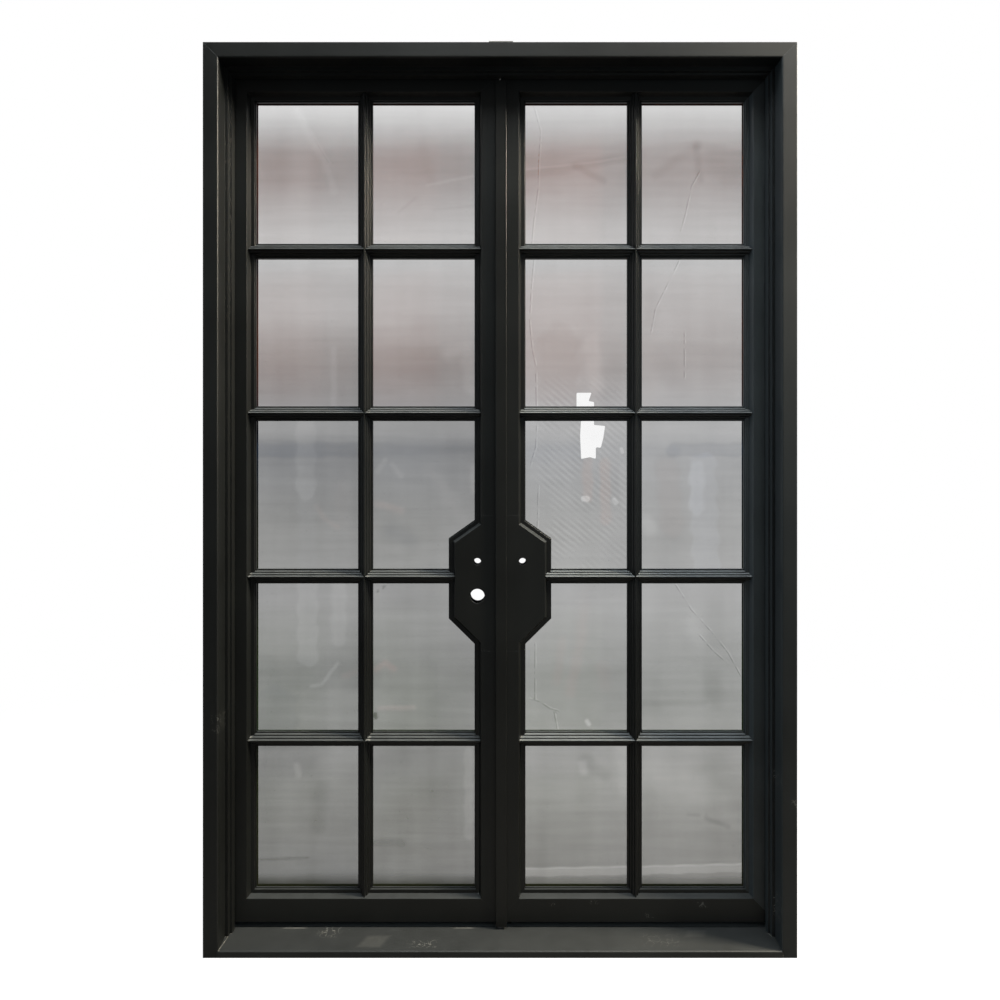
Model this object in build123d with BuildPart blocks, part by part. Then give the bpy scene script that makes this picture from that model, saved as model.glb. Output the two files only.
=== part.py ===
from build123d import *
from math import atan, degrees, hypot
import os

os.makedirs("parts", exist_ok=True)

# Steel french doors in their box frame, in millimetres. X runs to the viewer's right, Y into the house
# and Z up, from the middle of the sill's underside. The leaves open inwards on barrel hinges.

# The whole unit
frame_width = 1575.0
frame_height = 2427.0
frame_depth = 152.0

# Section of the jambs and the head: a plain face, a deep reveal and a stop of two leaning treads
frame_wall = 2.5
face_width = 40.0
face_round = 4.0
first_step = 8.5
first_tread_depth = 14.0
first_tread_lean = 1.0
second_step = 5.5
second_tread_depth = 15.0
second_tread_lean = 3.0
rebate_width = 45.0

# Sill, which slopes up from its nose to the leaves
sill_front_height = 17.0
sill_back_height = 30.0
sill_nose_round = 5.0

# Bolt holes for wall anchors in the jambs' outer walls, in pairs, and a small tab on the head
anchor_hole_radius = 5.0
anchor_hole_spacing = 60.0
anchor_height_shares = (0.15, 0.85)
tab_width = 64.0
tab_depth = 40.0
tab_thickness = 3.0
tab_set = 0.5
tab_offset = 2.6

# Leaves and the gaps round them
leaf_thickness = 57.0
leaf_wall = 2.0
seal_space = 8.0
edge_gap = 4.0
meeting_gap = 5.0
bottom_gap = 16.0
hinge_flat = 39.5
lock_flat = 49.5
top_flat = 41.0
bottom_flat = 64.0

# Moulding that runs round each leaf's glass: a leaning tread, a step, a second tread and a lip
mould_first_lean = 6.0
mould_first_depth = 20.0
mould_step = 10.0
mould_second_lean = 0.5
mould_second_depth = 7.0
mould_lip = 2.5
mould_lip_thickness = 6.0
pane_rebate = 7.0

# Glazing bars: a narrow nose with leaning treads and falling steps on both sides
row_count = 5
row_pitch_share = 0.2072
bar_tread_count = 3
bar_nose_half = 1.5
bar_set_back = 4.0
bar_tread_lean = 2.5
bar_tread_depth = 7.65
bar_step = 3.5
bar_step_fall = 0.5
bar_lip = 4.5
bar_web_half = 7.0

# Sealed glass units and the beads that hold them from inside the house
pane_thickness = 14.0
pane_clearance = 2.0
bead_back_width = 7.5
bead_fit = 0.2
bead_splay_angle = 25.0

# Lock box: a half hexagon that widens the lock stile
lock_height = 990.5
lock_tip_length = 223.0
lock_reach = 72.0
lock_upper_rise = 51.0
lock_lower_drop = 71.0
lock_land = 15.0
lock_backset = 60.0
cylinder_hole_radius = 10.0
cylinder_hole_rise = 49.5
lever_hole_radius = 20.0
lever_hole_drop = 45.5

# Cover strip over the meeting gap, its seal, the seals on the stops and the sweeps under the leaves,
# which hang behind the flush bolts
strip_lap_left = 9.5
strip_lap_right = 15.5
strip_thickness = 9.0
strip_relief = 1.5
strip_edge_chamfer = 1.0
strip_drop = 9.0
strip_top_gap = 4.0
strip_seal_width = 6.0
strip_seal_set = 2.0
seal_width = 6.0
seal_inset = 2.0
seal_round = 2.5
seal_clearance = 0.3
sweep_thickness = 8.0
sweep_bolt_gap = 2.0
sweep_end_gap = 1.0
sweep_clearance = 0.8

# Barrel hinges welded to the inside faces
hinge_height_shares = (0.1, 0.5, 0.9)
knuckle_radius = 11.0
knuckle_length = 50.0
knuckle_clearance = 1.0
tang_width = 14.0
pin_radius = 6.0
pin_fit = 0.02
pin_running = 0.05
pin_end_gap = 5.0
bearing_radius = 10.0
bearing_thickness = 1.5

# Flush bolts in the right leaf's meeting edge
bolt_radius = 5.0
bolt_running = 0.05
bolt_hole_clearance = 0.5
bolt_reach = 12.0
bolt_tip_inset = 1.0
bolt_tail = 5.0
bolt_case_set = 300.0
bolt_case_length = 160.0
bolt_case_width = 22.0
bolt_case_fit = 0.2
bolt_guide_length = 20.0
bolt_guide_width = 16.0
bolt_guide_wall = 4.0
bolt_tab_height = 12.0
bolt_tab_width = 8.0
bolt_tab_clearance = 0.5

# Every cut runs past its solid by this much
overrun = 10.0

# Planes and edges that the pieces share
half_width = frame_width / 2
front = -frame_depth / 2
back = frame_depth / 2
stop_depth = frame_depth - leaf_thickness - seal_space
first_tread_end = stop_depth - second_tread_depth
reveal_depth = first_tread_end - first_tread_depth
first_nose = face_width + first_step
second_nose = first_nose + first_tread_lean + second_step
stop_width = second_nose + second_tread_lean
leaf_front = back - leaf_thickness
leaf_bottom = sill_back_height + bottom_gap
leaf_top = frame_height - rebate_width - edge_gap
meeting_edge = meeting_gap / 2
hinge_edge = half_width - rebate_width - edge_gap
mould_width = mould_first_lean + mould_step + mould_second_lean + mould_lip
second_tread_end = mould_first_depth + mould_second_depth
glass_depth = second_tread_end + mould_lip_thickness
glass_front = leaf_front + glass_depth
glass_back = glass_front + pane_thickness
lock_side = meeting_edge + lock_flat
hinge_side = hinge_edge - hinge_flat
low_side = leaf_bottom + bottom_flat
high_side = leaf_top - top_flat
upright_x = (lock_side + hinge_side) / 2
glass_middle = (low_side + high_side) / 2
row_pitch = (high_side - low_side - 2 * mould_width) * row_pitch_share
bar_heights = [glass_middle + (row - row_count / 2) * row_pitch for row in range(1, row_count)]
bar_half = bar_nose_half + bar_tread_count * bar_tread_lean + (bar_tread_count - 1) * bar_step + bar_lip
lock_low_tip = lock_height - lock_tip_length / 2
lock_high_tip = lock_height + lock_tip_length / 2
lock_low_root = lock_low_tip - lock_lower_drop
lock_high_root = lock_high_tip + lock_upper_rise
lock_box_low = lock_low_root - lock_land
lock_box_high = lock_high_root + lock_land
bolt_x = meeting_edge + lock_flat / 2
bolt_y = leaf_front + leaf_thickness / 2


def facing(y):
    """Upright plane at depth y, seen from the front, with sketch x along X and sketch y along Z."""
    return Plane.XZ.offset(-y)


def outline(points, mode=Mode.ADD):
    """Closed face through the points, in the sketch that is open."""
    Polygon(*points, align=None, mode=mode)


def block(low, high, mode=Mode.ADD):
    """Straight-sided block between two corners, in the part that is open."""
    with BuildSketch(Plane.XY.offset(low[2])) as base:
        outline([(low[0], low[1]), (high[0], low[1]), (high[0], high[1]), (low[0], high[1])])
    extrude(base.sketch, amount=high[2] - low[2], mode=mode)


def rod(x, y, low, high, radius, mode=Mode.ADD):
    """Upright round bar or hole, in the part that is open."""
    with BuildSketch(Plane.XY.offset(low)) as base:
        with Locations((x, y)):
            Circle(radius)
    extrude(base.sketch, amount=high - low, mode=mode)


def write(piece, name):
    """Labels a finished piece and writes it under its own name."""
    piece.part.label = name
    export_step(piece.part, f"parts/{name}.step")


def write_mirrored(piece, name):
    """Writes the piece for the left side, as the mirror image of the right one."""
    with BuildPart() as mirrored:
        mirror(piece.part, about=Plane.YZ)
    write(mirrored, name)


# Jambs and head: one folded tube section, mitred at the top corners
frame_corners = [
    (0, 0),
    (face_width, 0),
    (face_width, reveal_depth),
    (first_nose, reveal_depth),
    (first_nose + first_tread_lean, first_tread_end),
    (second_nose, first_tread_end),
    (stop_width, stop_depth),
    (rebate_width, stop_depth),
    (rebate_width, frame_depth),
    (0, frame_depth),
]
jamb_corners = [(half_width - inward, front + depth) for inward, depth in frame_corners]
head_corners = [(front + depth, frame_height - inward) for inward, depth in frame_corners]
mitre_right = Plane((half_width, 0, frame_height), x_dir=(0, 1, 0), z_dir=(-1, 0, 1))
mitre_left = Plane((-half_width, 0, frame_height), x_dir=(0, 1, 0), z_dir=(1, 0, 1))

with BuildPart() as jamb:
    with BuildSketch() as jamb_section:
        outline(jamb_corners)
        face_edge = (half_width - face_width, front)
        fillet(jamb_section.vertices().sort_by_distance(face_edge)[0], radius=face_round)
    extrude(amount=frame_height)
    with BuildSketch():
        outline(jamb_corners)
        offset(amount=-frame_wall, kind=Kind.INTERSECTION)
    extrude(amount=frame_height, mode=Mode.SUBTRACT)
    split(bisect_by=mitre_right, keep=Keep.BOTTOM)
    for share in anchor_height_shares:
        anchor = Plane((half_width, 0, frame_height * share), x_dir=(0, 0, 1), z_dir=(1, 0, 0))
        with Locations(anchor):
            with GridLocations(anchor_hole_spacing, 0, 2, 1):
                Hole(radius=anchor_hole_radius, depth=2 * frame_wall)
write(jamb, "jamb_right")
write_mirrored(jamb, "jamb_left")

with BuildPart() as head:
    with BuildSketch(Plane.YZ) as head_section:
        outline(head_corners)
        face_edge = (front, frame_height - face_width)
        fillet(head_section.vertices().sort_by_distance(face_edge)[0], radius=face_round)
    extrude(amount=half_width, both=True)
    with BuildSketch(Plane.YZ):
        outline(head_corners)
        offset(amount=-frame_wall, kind=Kind.INTERSECTION)
    extrude(amount=half_width, both=True, mode=Mode.SUBTRACT)
    split(bisect_by=mitre_right, keep=Keep.TOP)
    split(bisect_by=mitre_left, keep=Keep.TOP)
    keeper = frame_height - rebate_width
    rod(bolt_x, bolt_y, keeper - overrun, keeper + overrun, bolt_radius + bolt_hole_clearance, Mode.SUBTRACT)
write(head, "head")

with BuildPart() as head_anchor_tab:
    block(
        (tab_offset - tab_width / 2, front + tab_set, frame_height),
        (tab_offset + tab_width / 2, front + tab_set + tab_depth, frame_height + tab_thickness),
    )
write(head_anchor_tab, "head_anchor_tab")

# Sill: a hollow folded tube between the jambs, its ends coped to their section
sill_corners = [
    (front, 0),
    (front, sill_front_height),
    (leaf_front, sill_back_height),
    (back, sill_back_height),
    (back, 0),
]
with BuildPart() as threshold:
    with BuildSketch(Plane.YZ) as sill_section:
        outline(sill_corners)
        nose = (front, sill_front_height)
        fillet(sill_section.vertices().sort_by_distance(nose)[0], radius=sill_nose_round)
    extrude(amount=half_width, both=True)
    with BuildSketch(Plane.YZ):
        outline(sill_corners)
        offset(amount=-frame_wall, kind=Kind.INTERSECTION)
    extrude(amount=half_width, both=True, mode=Mode.SUBTRACT)
    with BuildSketch() as jamb_feet:
        outline(jamb_corners)
        fillet(jamb_feet.vertices().sort_by_distance((half_width - face_width, front))[0], radius=face_round)
        mirror(about=Plane.YZ)
    extrude(amount=sill_back_height + overrun, mode=Mode.SUBTRACT)
    rod(
        bolt_x,
        bolt_y,
        sill_back_height - 2 * frame_wall,
        sill_back_height + overrun,
        bolt_radius + bolt_hole_clearance,
        Mode.SUBTRACT,
    )
write(threshold, "threshold")

# Seals on the back of the stops, which the closed leaves press on
seal_out = stop_width - seal_inset - seal_width
seal_in = stop_width - seal_inset
seal_back = leaf_front - seal_clearance

with BuildPart() as weatherseal:
    block(
        (half_width - seal_in, front + stop_depth, sill_back_height),
        (half_width - seal_out, seal_back, frame_height - seal_in),
    )
    pressed = weatherseal.edges().filter_by(Axis.Z).group_by(Axis.Y)[-1]
    fillet(pressed, radius=seal_round)
write(weatherseal, "weatherseal_right")
write_mirrored(weatherseal, "weatherseal_left")

with BuildPart() as weatherseal_head:
    block(
        (seal_out - half_width, front + stop_depth, frame_height - seal_in),
        (half_width - seal_out, seal_back, frame_height - seal_out),
    )
    pressed = weatherseal_head.edges().filter_by(Axis.X).group_by(Axis.Y)[-1]
    fillet(pressed, radius=seal_round)
write(weatherseal_head, "weatherseal_head")


# Leaf members: hollow tubes with the moulding on their glass side, mitred at the corners
def leaf_section(flat):
    """Corners of a stile or rail, as (distance from the leaf's edge, depth behind the leaf's front)."""
    step_start = flat + mould_first_lean
    lip_edge = flat + mould_width
    return [
        (0, 0),
        (flat, 0),
        (step_start, mould_first_depth),
        (step_start + mould_step, mould_first_depth),
        (lip_edge - mould_lip, second_tread_end),
        (lip_edge, second_tread_end),
        (lip_edge, glass_depth),
        (flat + pane_rebate, glass_depth),
        (flat + pane_rebate, leaf_thickness),
        (0, leaf_thickness),
    ]


def upright(edge, inward, flat, low, high):
    """Solid stile between two heights, in the part that is open. Its outer face is at edge."""
    with BuildSketch(Plane.XY.offset(low)) as section:
        outline([(edge + inward * across, leaf_front + depth) for across, depth in leaf_section(flat)])
    extrude(section.sketch, amount=high - low)


def upright_core(edge, inward, flat, low, high):
    """Cuts the hollow of a stile between two heights."""
    near, far = sorted((edge + inward * leaf_wall, edge + inward * (flat - leaf_wall)))
    block((near, leaf_front + leaf_wall, low), (far, back - leaf_wall, high), Mode.SUBTRACT)


def rail(edge, inward, flat):
    """Solid rail across the leaf, in the part that is open. Its outer face is at height edge."""
    with BuildSketch(Plane.YZ.offset(meeting_edge)) as section:
        outline([(leaf_front + depth, edge + inward * across) for across, depth in leaf_section(flat)])
    extrude(section.sketch, amount=hinge_edge - meeting_edge)


def rail_core(edge, inward, flat):
    """Cuts the hollow of a rail, which stops one wall short of the leaf's edges."""
    low, high = sorted((edge + inward * leaf_wall, edge + inward * (flat - leaf_wall)))
    block(
        (meeting_edge + leaf_wall, leaf_front + leaf_wall, low),
        (hinge_edge - leaf_wall, back - leaf_wall, high),
        Mode.SUBTRACT,
    )


rising = (1, 0, 1)
falling = (-1, 0, 1)
mitre_lock_top = Plane((lock_side, 0, high_side), x_dir=(0, 1, 0), z_dir=rising)
mitre_lock_bottom = Plane((lock_side, 0, low_side), x_dir=(0, 1, 0), z_dir=falling)
mitre_hinge_top = Plane((hinge_side, 0, high_side), x_dir=(0, 1, 0), z_dir=falling)
mitre_hinge_bottom = Plane((hinge_side, 0, low_side), x_dir=(0, 1, 0), z_dir=rising)

with BuildPart() as hinge_stile:
    upright(hinge_edge, -1, hinge_flat, leaf_bottom, leaf_top)
    upright_core(hinge_edge, -1, hinge_flat, leaf_bottom + leaf_wall, leaf_top - leaf_wall)
    split(bisect_by=mitre_hinge_top, keep=Keep.BOTTOM)
    split(bisect_by=mitre_hinge_bottom, keep=Keep.TOP)
write(hinge_stile, "hinge_stile_right")
write_mirrored(hinge_stile, "hinge_stile_left")

with BuildPart() as top_rail:
    rail(leaf_top, -1, top_flat)
    rail_core(leaf_top, -1, top_flat)
    split(bisect_by=mitre_lock_top, keep=Keep.TOP)
    split(bisect_by=mitre_hinge_top, keep=Keep.TOP)
write_mirrored(top_rail, "top_rail_left")

with BuildPart() as bottom_rail:
    rail(leaf_bottom, 1, bottom_flat)
    rail_core(leaf_bottom, 1, bottom_flat)
    split(bisect_by=mitre_lock_bottom, keep=Keep.BOTTOM)
    split(bisect_by=mitre_hinge_bottom, keep=Keep.BOTTOM)
write_mirrored(bottom_rail, "bottom_rail_left")

with BuildPart() as lock_stile_upper:
    upright(meeting_edge, 1, lock_flat, lock_box_high, leaf_top)
    upright_core(meeting_edge, 1, lock_flat, lock_box_high, leaf_top - leaf_wall)
    split(bisect_by=mitre_lock_top, keep=Keep.BOTTOM)
write_mirrored(lock_stile_upper, "lock_stile_upper_left")

with BuildPart() as lock_stile_lower:
    upright(meeting_edge, 1, lock_flat, leaf_bottom, lock_box_low)
    upright_core(meeting_edge, 1, lock_flat, leaf_bottom + leaf_wall, lock_box_low)
    split(bisect_by=mitre_lock_bottom, keep=Keep.TOP)
write_mirrored(lock_stile_lower, "lock_stile_lower_left")


# Lock box: the same moulding carried round a half hexagon, over a hollow for the lock
def lock_outline(inset):
    """Corners of the box's glass-side edge, moved in by inset, with ends that run past the box."""
    glass_edge = lock_side + mould_width - inset
    tip = glass_edge + lock_reach
    low_shift = inset * (hypot(lock_reach, lock_lower_drop) - lock_lower_drop) / lock_reach
    high_shift = inset * (hypot(lock_reach, lock_upper_rise) - lock_upper_rise) / lock_reach
    return [
        (meeting_edge - overrun, lock_box_low - overrun),
        (glass_edge, lock_box_low - overrun),
        (glass_edge, lock_low_root + low_shift),
        (tip, lock_low_tip + low_shift),
        (tip, lock_high_tip - high_shift),
        (glass_edge, lock_high_root - high_shift),
        (glass_edge, lock_box_high + overrun),
        (meeting_edge - overrun, lock_box_high + overrun),
    ]


def lock_layer(inset, near, far, lean=0):
    """One layer of the box between two depths, which leans in towards the front by lean."""
    with BuildSketch(facing(leaf_front + far)) as layer:
        outline(lock_outline(inset))
    extrude(layer.sketch, amount=far - near, taper=degrees(atan(lean / (far - near))))


with BuildPart() as lock_blank:
    lock_layer(mould_width - mould_first_lean, 0, mould_first_depth, mould_first_lean)
    lock_layer(mould_lip, mould_first_depth, second_tread_end, mould_second_lean)
    lock_layer(0, second_tread_end, glass_depth)
    lock_layer(mould_width - pane_rebate, glass_depth, leaf_thickness)
    with BuildSketch(Plane.XY.offset(lock_box_low)):
        with Locations((meeting_edge, leaf_front)):
            reach_x = lock_flat + mould_width + lock_reach
            Rectangle(reach_x, leaf_thickness, align=(Align.MIN, Align.MIN))
    extrude(amount=lock_box_high - lock_box_low, mode=Mode.INTERSECT)

with BuildPart() as lock_box:
    add(lock_blank.part)
    with BuildSketch(facing(back - leaf_wall)):
        outline(lock_outline(mould_width + leaf_wall))
        with Locations((meeting_edge + leaf_wall, lock_height)):
            box_height = lock_box_high - lock_box_low + overrun
            Rectangle(reach_x, box_height, align=(Align.MIN, Align.CENTER), mode=Mode.INTERSECT)
    extrude(amount=leaf_thickness - 2 * leaf_wall, mode=Mode.SUBTRACT)
    with BuildSketch(facing(back)):
        with Locations((meeting_edge + lock_backset, lock_height + cylinder_hole_rise)):
            Circle(cylinder_hole_radius)
    extrude(amount=leaf_thickness, mode=Mode.SUBTRACT)
write(lock_box, "lock_box_right")

with BuildPart() as lock_box_left:
    mirror(lock_box.part, about=Plane.YZ)
    with BuildSketch(facing(back)):
        with Locations((-meeting_edge - lock_backset, lock_height - lever_hole_drop)):
            Circle(lever_hole_radius)
    extrude(amount=leaf_thickness, mode=Mode.SUBTRACT)
write(lock_box_left, "lock_box_left")

# Glazing bars: the upright runs from rail to rail, and the crossbars are coped to all that they meet
bar_side = [(bar_nose_half, bar_set_back)]
for tread in range(bar_tread_count):
    nose_half, nose_depth = bar_side[-1]
    bar_side.append((nose_half + bar_tread_lean, nose_depth + bar_tread_depth))
    if tread < bar_tread_count - 1:
        bar_side.append((bar_side[-1][0] + bar_step, bar_side[-1][1] + bar_step_fall))
bar_side.append((bar_half, bar_side[-1][1]))
bar_side.append((bar_half, glass_depth))
bar_side.append((bar_web_half, glass_depth))
bar_side.append((bar_web_half, leaf_thickness))
bar_section = bar_side + [(-half, depth) for half, depth in reversed(bar_side)]
bar_core_half = bar_web_half - leaf_wall
bar_core_front = leaf_front + bar_set_back + bar_tread_depth + bar_step_fall + leaf_wall

with BuildPart() as rail_blanks:
    rail(leaf_top, -1, top_flat)
    rail(leaf_bottom, 1, bottom_flat)

with BuildPart() as upright_blank:
    with BuildSketch(Plane.XY.offset(low_side)):
        outline([(upright_x + half, leaf_front + depth) for half, depth in bar_section])
    extrude(amount=high_side - low_side)

with BuildPart() as muntin_upright:
    add(upright_blank.part)
    block(
        (upright_x - bar_core_half, bar_core_front, low_side),
        (upright_x + bar_core_half, back - leaf_wall, high_side),
        Mode.SUBTRACT,
    )
    add(rail_blanks.part, mode=Mode.SUBTRACT)
write(muntin_upright, "muntin_upright_right")
write_mirrored(muntin_upright, "muntin_upright_left")

with BuildPart() as stile_blanks:
    upright(hinge_edge, -1, hinge_flat, leaf_bottom, leaf_top)
    upright(meeting_edge, 1, lock_flat, leaf_bottom, leaf_top)

with BuildPart() as crossbars:
    for height in bar_heights:
        with BuildSketch(Plane.YZ.offset(lock_side)):
            outline([(leaf_front + depth, height + half) for half, depth in bar_section])
        extrude(amount=hinge_side - lock_side)
        block(
            (lock_side, bar_core_front, height - bar_core_half),
            (hinge_side, back - leaf_wall, height + bar_core_half),
            Mode.SUBTRACT,
        )
    add(stile_blanks.part, mode=Mode.SUBTRACT)
    add(lock_blank.part, mode=Mode.SUBTRACT)
    add(upright_blank.part, mode=Mode.SUBTRACT)
write(crossbars, "crossbars_right")
write_mirrored(crossbars, "crossbars_left")

# Sealed glass units in the rebates, named from the top row down, and a ring of beads behind each
pane_columns = {
    "meeting": (lock_side + pane_rebate, upright_x - bar_web_half),
    "hinge": (upright_x + bar_web_half, hinge_side - pane_rebate),
}
row_lows = [low_side + pane_rebate] + [height + bar_web_half for height in bar_heights]
row_highs = [height - bar_web_half for height in bar_heights] + [high_side - pane_rebate]


def pane_opening(column, row):
    """Space between the rebates for one glass unit, in the sketch that is open."""
    left, right = pane_columns[column]
    low, high = row_lows[row], row_highs[row]
    outline([(left, low), (right, low), (right, high), (left, high)])


def lock_notch():
    """Takes the lock box out of the spaces that it reaches into, in the sketch that is open."""
    outline(lock_outline(mould_width - pane_rebate), Mode.SUBTRACT)


for column in pane_columns:
    for row in range(row_count):
        with BuildPart() as pane:
            with BuildSketch(facing(glass_back)):
                pane_opening(column, row)
                if column == "meeting":
                    lock_notch()
                offset(amount=-pane_clearance, kind=Kind.INTERSECTION)
            extrude(amount=pane_thickness)
        write(pane, f"pane_right_{row_count - row}_{column}")
        write_mirrored(pane, f"pane_left_{row_count - row}_{column}")

with BuildPart() as glazing_beads:
    for setback, splay, mode in (
        (bead_fit, 0, Mode.ADD),
        (bead_back_width, bead_splay_angle, Mode.SUBTRACT),
    ):
        with BuildSketch(facing(back)):
            for column in pane_columns:
                for row in range(row_count):
                    pane_opening(column, row)
            lock_notch()
            offset(amount=-setback, kind=Kind.INTERSECTION)
        extrude(amount=back - glass_back, taper=splay, mode=mode)
write(glazing_beads, "glazing_beads_right")
write_mirrored(glazing_beads, "glazing_beads_left")

# Sweeps under the leaves, just clear of the sill
with BuildPart() as sweep_strip:
    sweep_front = bolt_y + bolt_radius + sweep_bolt_gap
    block(
        (meeting_edge + sweep_end_gap, sweep_front, sill_back_height + sweep_clearance),
        (hinge_edge - sweep_end_gap, sweep_front + sweep_thickness, leaf_bottom),
    )
write(sweep_strip, "sweep_right")
write_mirrored(sweep_strip, "sweep_left")

# Cover strip on the right leaf, which laps the left one, with a thin seal between them
strip_left = -meeting_edge - strip_lap_left
strip_right = meeting_edge + strip_lap_right
strip_front = leaf_front - strip_thickness
strip_back = leaf_front - strip_relief
strip_low = leaf_bottom - strip_drop
strip_high = frame_height - stop_width - strip_top_gap

with BuildPart() as astragal:
    with BuildSketch(Plane.XY.offset(strip_low)):
        outline(
            [
                (strip_left, strip_front),
                (strip_right, strip_front),
                (strip_right, leaf_front),
                (meeting_edge, leaf_front),
                (meeting_edge, strip_back),
                (strip_left, strip_back),
            ]
        )
    extrude(amount=strip_high - strip_low)
    shown = astragal.edges().filter_by(Axis.Z).group_by(Axis.Y)[0]
    chamfer(shown, length=strip_edge_chamfer)
write(astragal, "astragal")

with BuildPart() as astragal_seal:
    block(
        (strip_left + strip_seal_set, strip_back, leaf_bottom),
        (strip_left + strip_seal_set + strip_seal_width, leaf_front - seal_clearance, strip_high),
    )
write(astragal_seal, "astragal_seal")

# Barrel hinges on the inside: a frame knuckle below, a leaf knuckle above, a pin and a bearing ring
hinge_x = hinge_edge + edge_gap / 2
hinge_y = back + knuckle_radius + knuckle_clearance
hinge_bases = [
    leaf_bottom + share * (leaf_top - leaf_bottom) - knuckle_length for share in hinge_height_shares
]
rebate_edge = half_width - rebate_width
leaf_knuckle_rise = knuckle_length + bearing_thickness
pin_rise = leaf_knuckle_rise + knuckle_length - pin_end_gap

with BuildPart() as frame_knuckles:
    for base in hinge_bases:
        block((rebate_edge, back, base), (rebate_edge + tang_width, hinge_y, base + knuckle_length))
        rod(hinge_x, hinge_y, base, base + knuckle_length, knuckle_radius)
        rod(hinge_x, hinge_y, base, base + knuckle_length, pin_radius + pin_fit, Mode.SUBTRACT)
write(frame_knuckles, "hinge_frame_knuckles_right")
write_mirrored(frame_knuckles, "hinge_frame_knuckles_left")

with BuildPart() as leaf_knuckles:
    for base in hinge_bases:
        low = base + leaf_knuckle_rise
        high = low + knuckle_length
        block((hinge_edge - tang_width, back, low), (hinge_edge, hinge_y, high))
        rod(hinge_x, hinge_y, low, high, knuckle_radius)
        rod(hinge_x, hinge_y, low, high, pin_radius + pin_running, Mode.SUBTRACT)
write(leaf_knuckles, "hinge_leaf_knuckles_right")
write_mirrored(leaf_knuckles, "hinge_leaf_knuckles_left")

with BuildPart() as hinge_pins:
    for base in hinge_bases:
        rod(hinge_x, hinge_y, base, base + pin_rise, pin_radius)
    mirror(about=Plane.YZ)
write(hinge_pins, "hinge_pins")

with BuildPart() as hinge_bearings:
    for base in hinge_bases:
        low = base + knuckle_length
        high = low + bearing_thickness
        rod(hinge_x, hinge_y, low, high, bearing_radius)
        rod(hinge_x, hinge_y, low, high, pin_radius + pin_running, Mode.SUBTRACT)
    mirror(about=Plane.YZ)
write(hinge_bearings, "hinge_bearings")

# Flush bolts: an edge plate with two guides, and a sliding rod with a finger tab. Each bolt is
# described from its own end of the leaf, so the lower one is the upper one turned over.
plate_back = meeting_edge + leaf_wall
guide_back = bolt_x + bolt_radius + bolt_guide_wall


def bolt_heights(end, away, *rises):
    """Heights at the given distances from an end of the leaf, lowest first."""
    return sorted(end + away * rise for rise in rises)


def case_block(end, away, near, far, width, left, right, mode=Mode.ADD):
    """Block of a flush bolt between two distances from the leaf's end, in the part that is open."""
    low, high = bolt_heights(end, away, near, far)
    block((left, bolt_y - width / 2, low), (right, bolt_y + width / 2, high), mode)


case_near = bolt_case_set - bolt_case_length / 2
case_far = bolt_case_set + bolt_case_length / 2
flush_bolts = {
    "top": (leaf_top, -1, edge_gap, top_rail, lock_stile_upper, "lock_stile_upper_right"),
    "bottom": (leaf_bottom, 1, bottom_gap, bottom_rail, lock_stile_lower, "lock_stile_lower_right"),
}
for place, (end, away, gap, rail_piece, stile_piece, stile_name) in flush_bolts.items():
    travel = gap + bolt_reach + bolt_tip_inset
    tab_near = bolt_case_set + travel / 2 - bolt_tab_height / 2
    tab_far = tab_near + bolt_tab_height
    slot_near = tab_near - travel - bolt_tab_clearance
    slot_far = tab_far + bolt_tab_clearance

    with BuildPart() as case:
        case_block(end, away, case_near, case_far, bolt_case_width, meeting_edge, plate_back)
        for guide_near in (case_near, case_far - bolt_guide_length):
            guide_far = guide_near + bolt_guide_length
            case_block(end, away, guide_near, guide_far, bolt_guide_width, plate_back, guide_back)
        slot_width = bolt_tab_width + 2 * bolt_tab_clearance
        case_block(end, away, slot_near, slot_far, slot_width, meeting_edge, plate_back, Mode.SUBTRACT)
        low, high = bolt_heights(end, away, case_near, case_far)
        rod(bolt_x, bolt_y, low, high, bolt_radius + bolt_running, Mode.SUBTRACT)
    write(case, f"flush_bolt_case_{place}")

    with BuildPart() as bolt:
        low, high = bolt_heights(end, away, bolt_tip_inset, case_far + bolt_tail)
        rod(bolt_x, bolt_y, low, high, bolt_radius)
        case_block(end, away, tab_near, tab_far, bolt_tab_width, meeting_edge, bolt_x)
    write(bolt, f"flush_bolt_rod_{place}")

    with BuildPart() as drilled_rail:
        add(rail_piece.part)
        low, high = bolt_heights(end, away, 0, 2 * leaf_wall)
        rod(bolt_x, bolt_y, low, high, bolt_radius + bolt_hole_clearance, Mode.SUBTRACT)
    write(drilled_rail, f"{place}_rail_right")

    with BuildPart() as slotted_stile:
        add(stile_piece.part)
        near = case_near - bolt_case_fit
        far = case_far + bolt_case_fit
        width = bolt_case_width + 2 * bolt_case_fit
        case_block(end, away, near, far, width, meeting_edge, plate_back, Mode.SUBTRACT)
    write(slotted_stile, stile_name)
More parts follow.
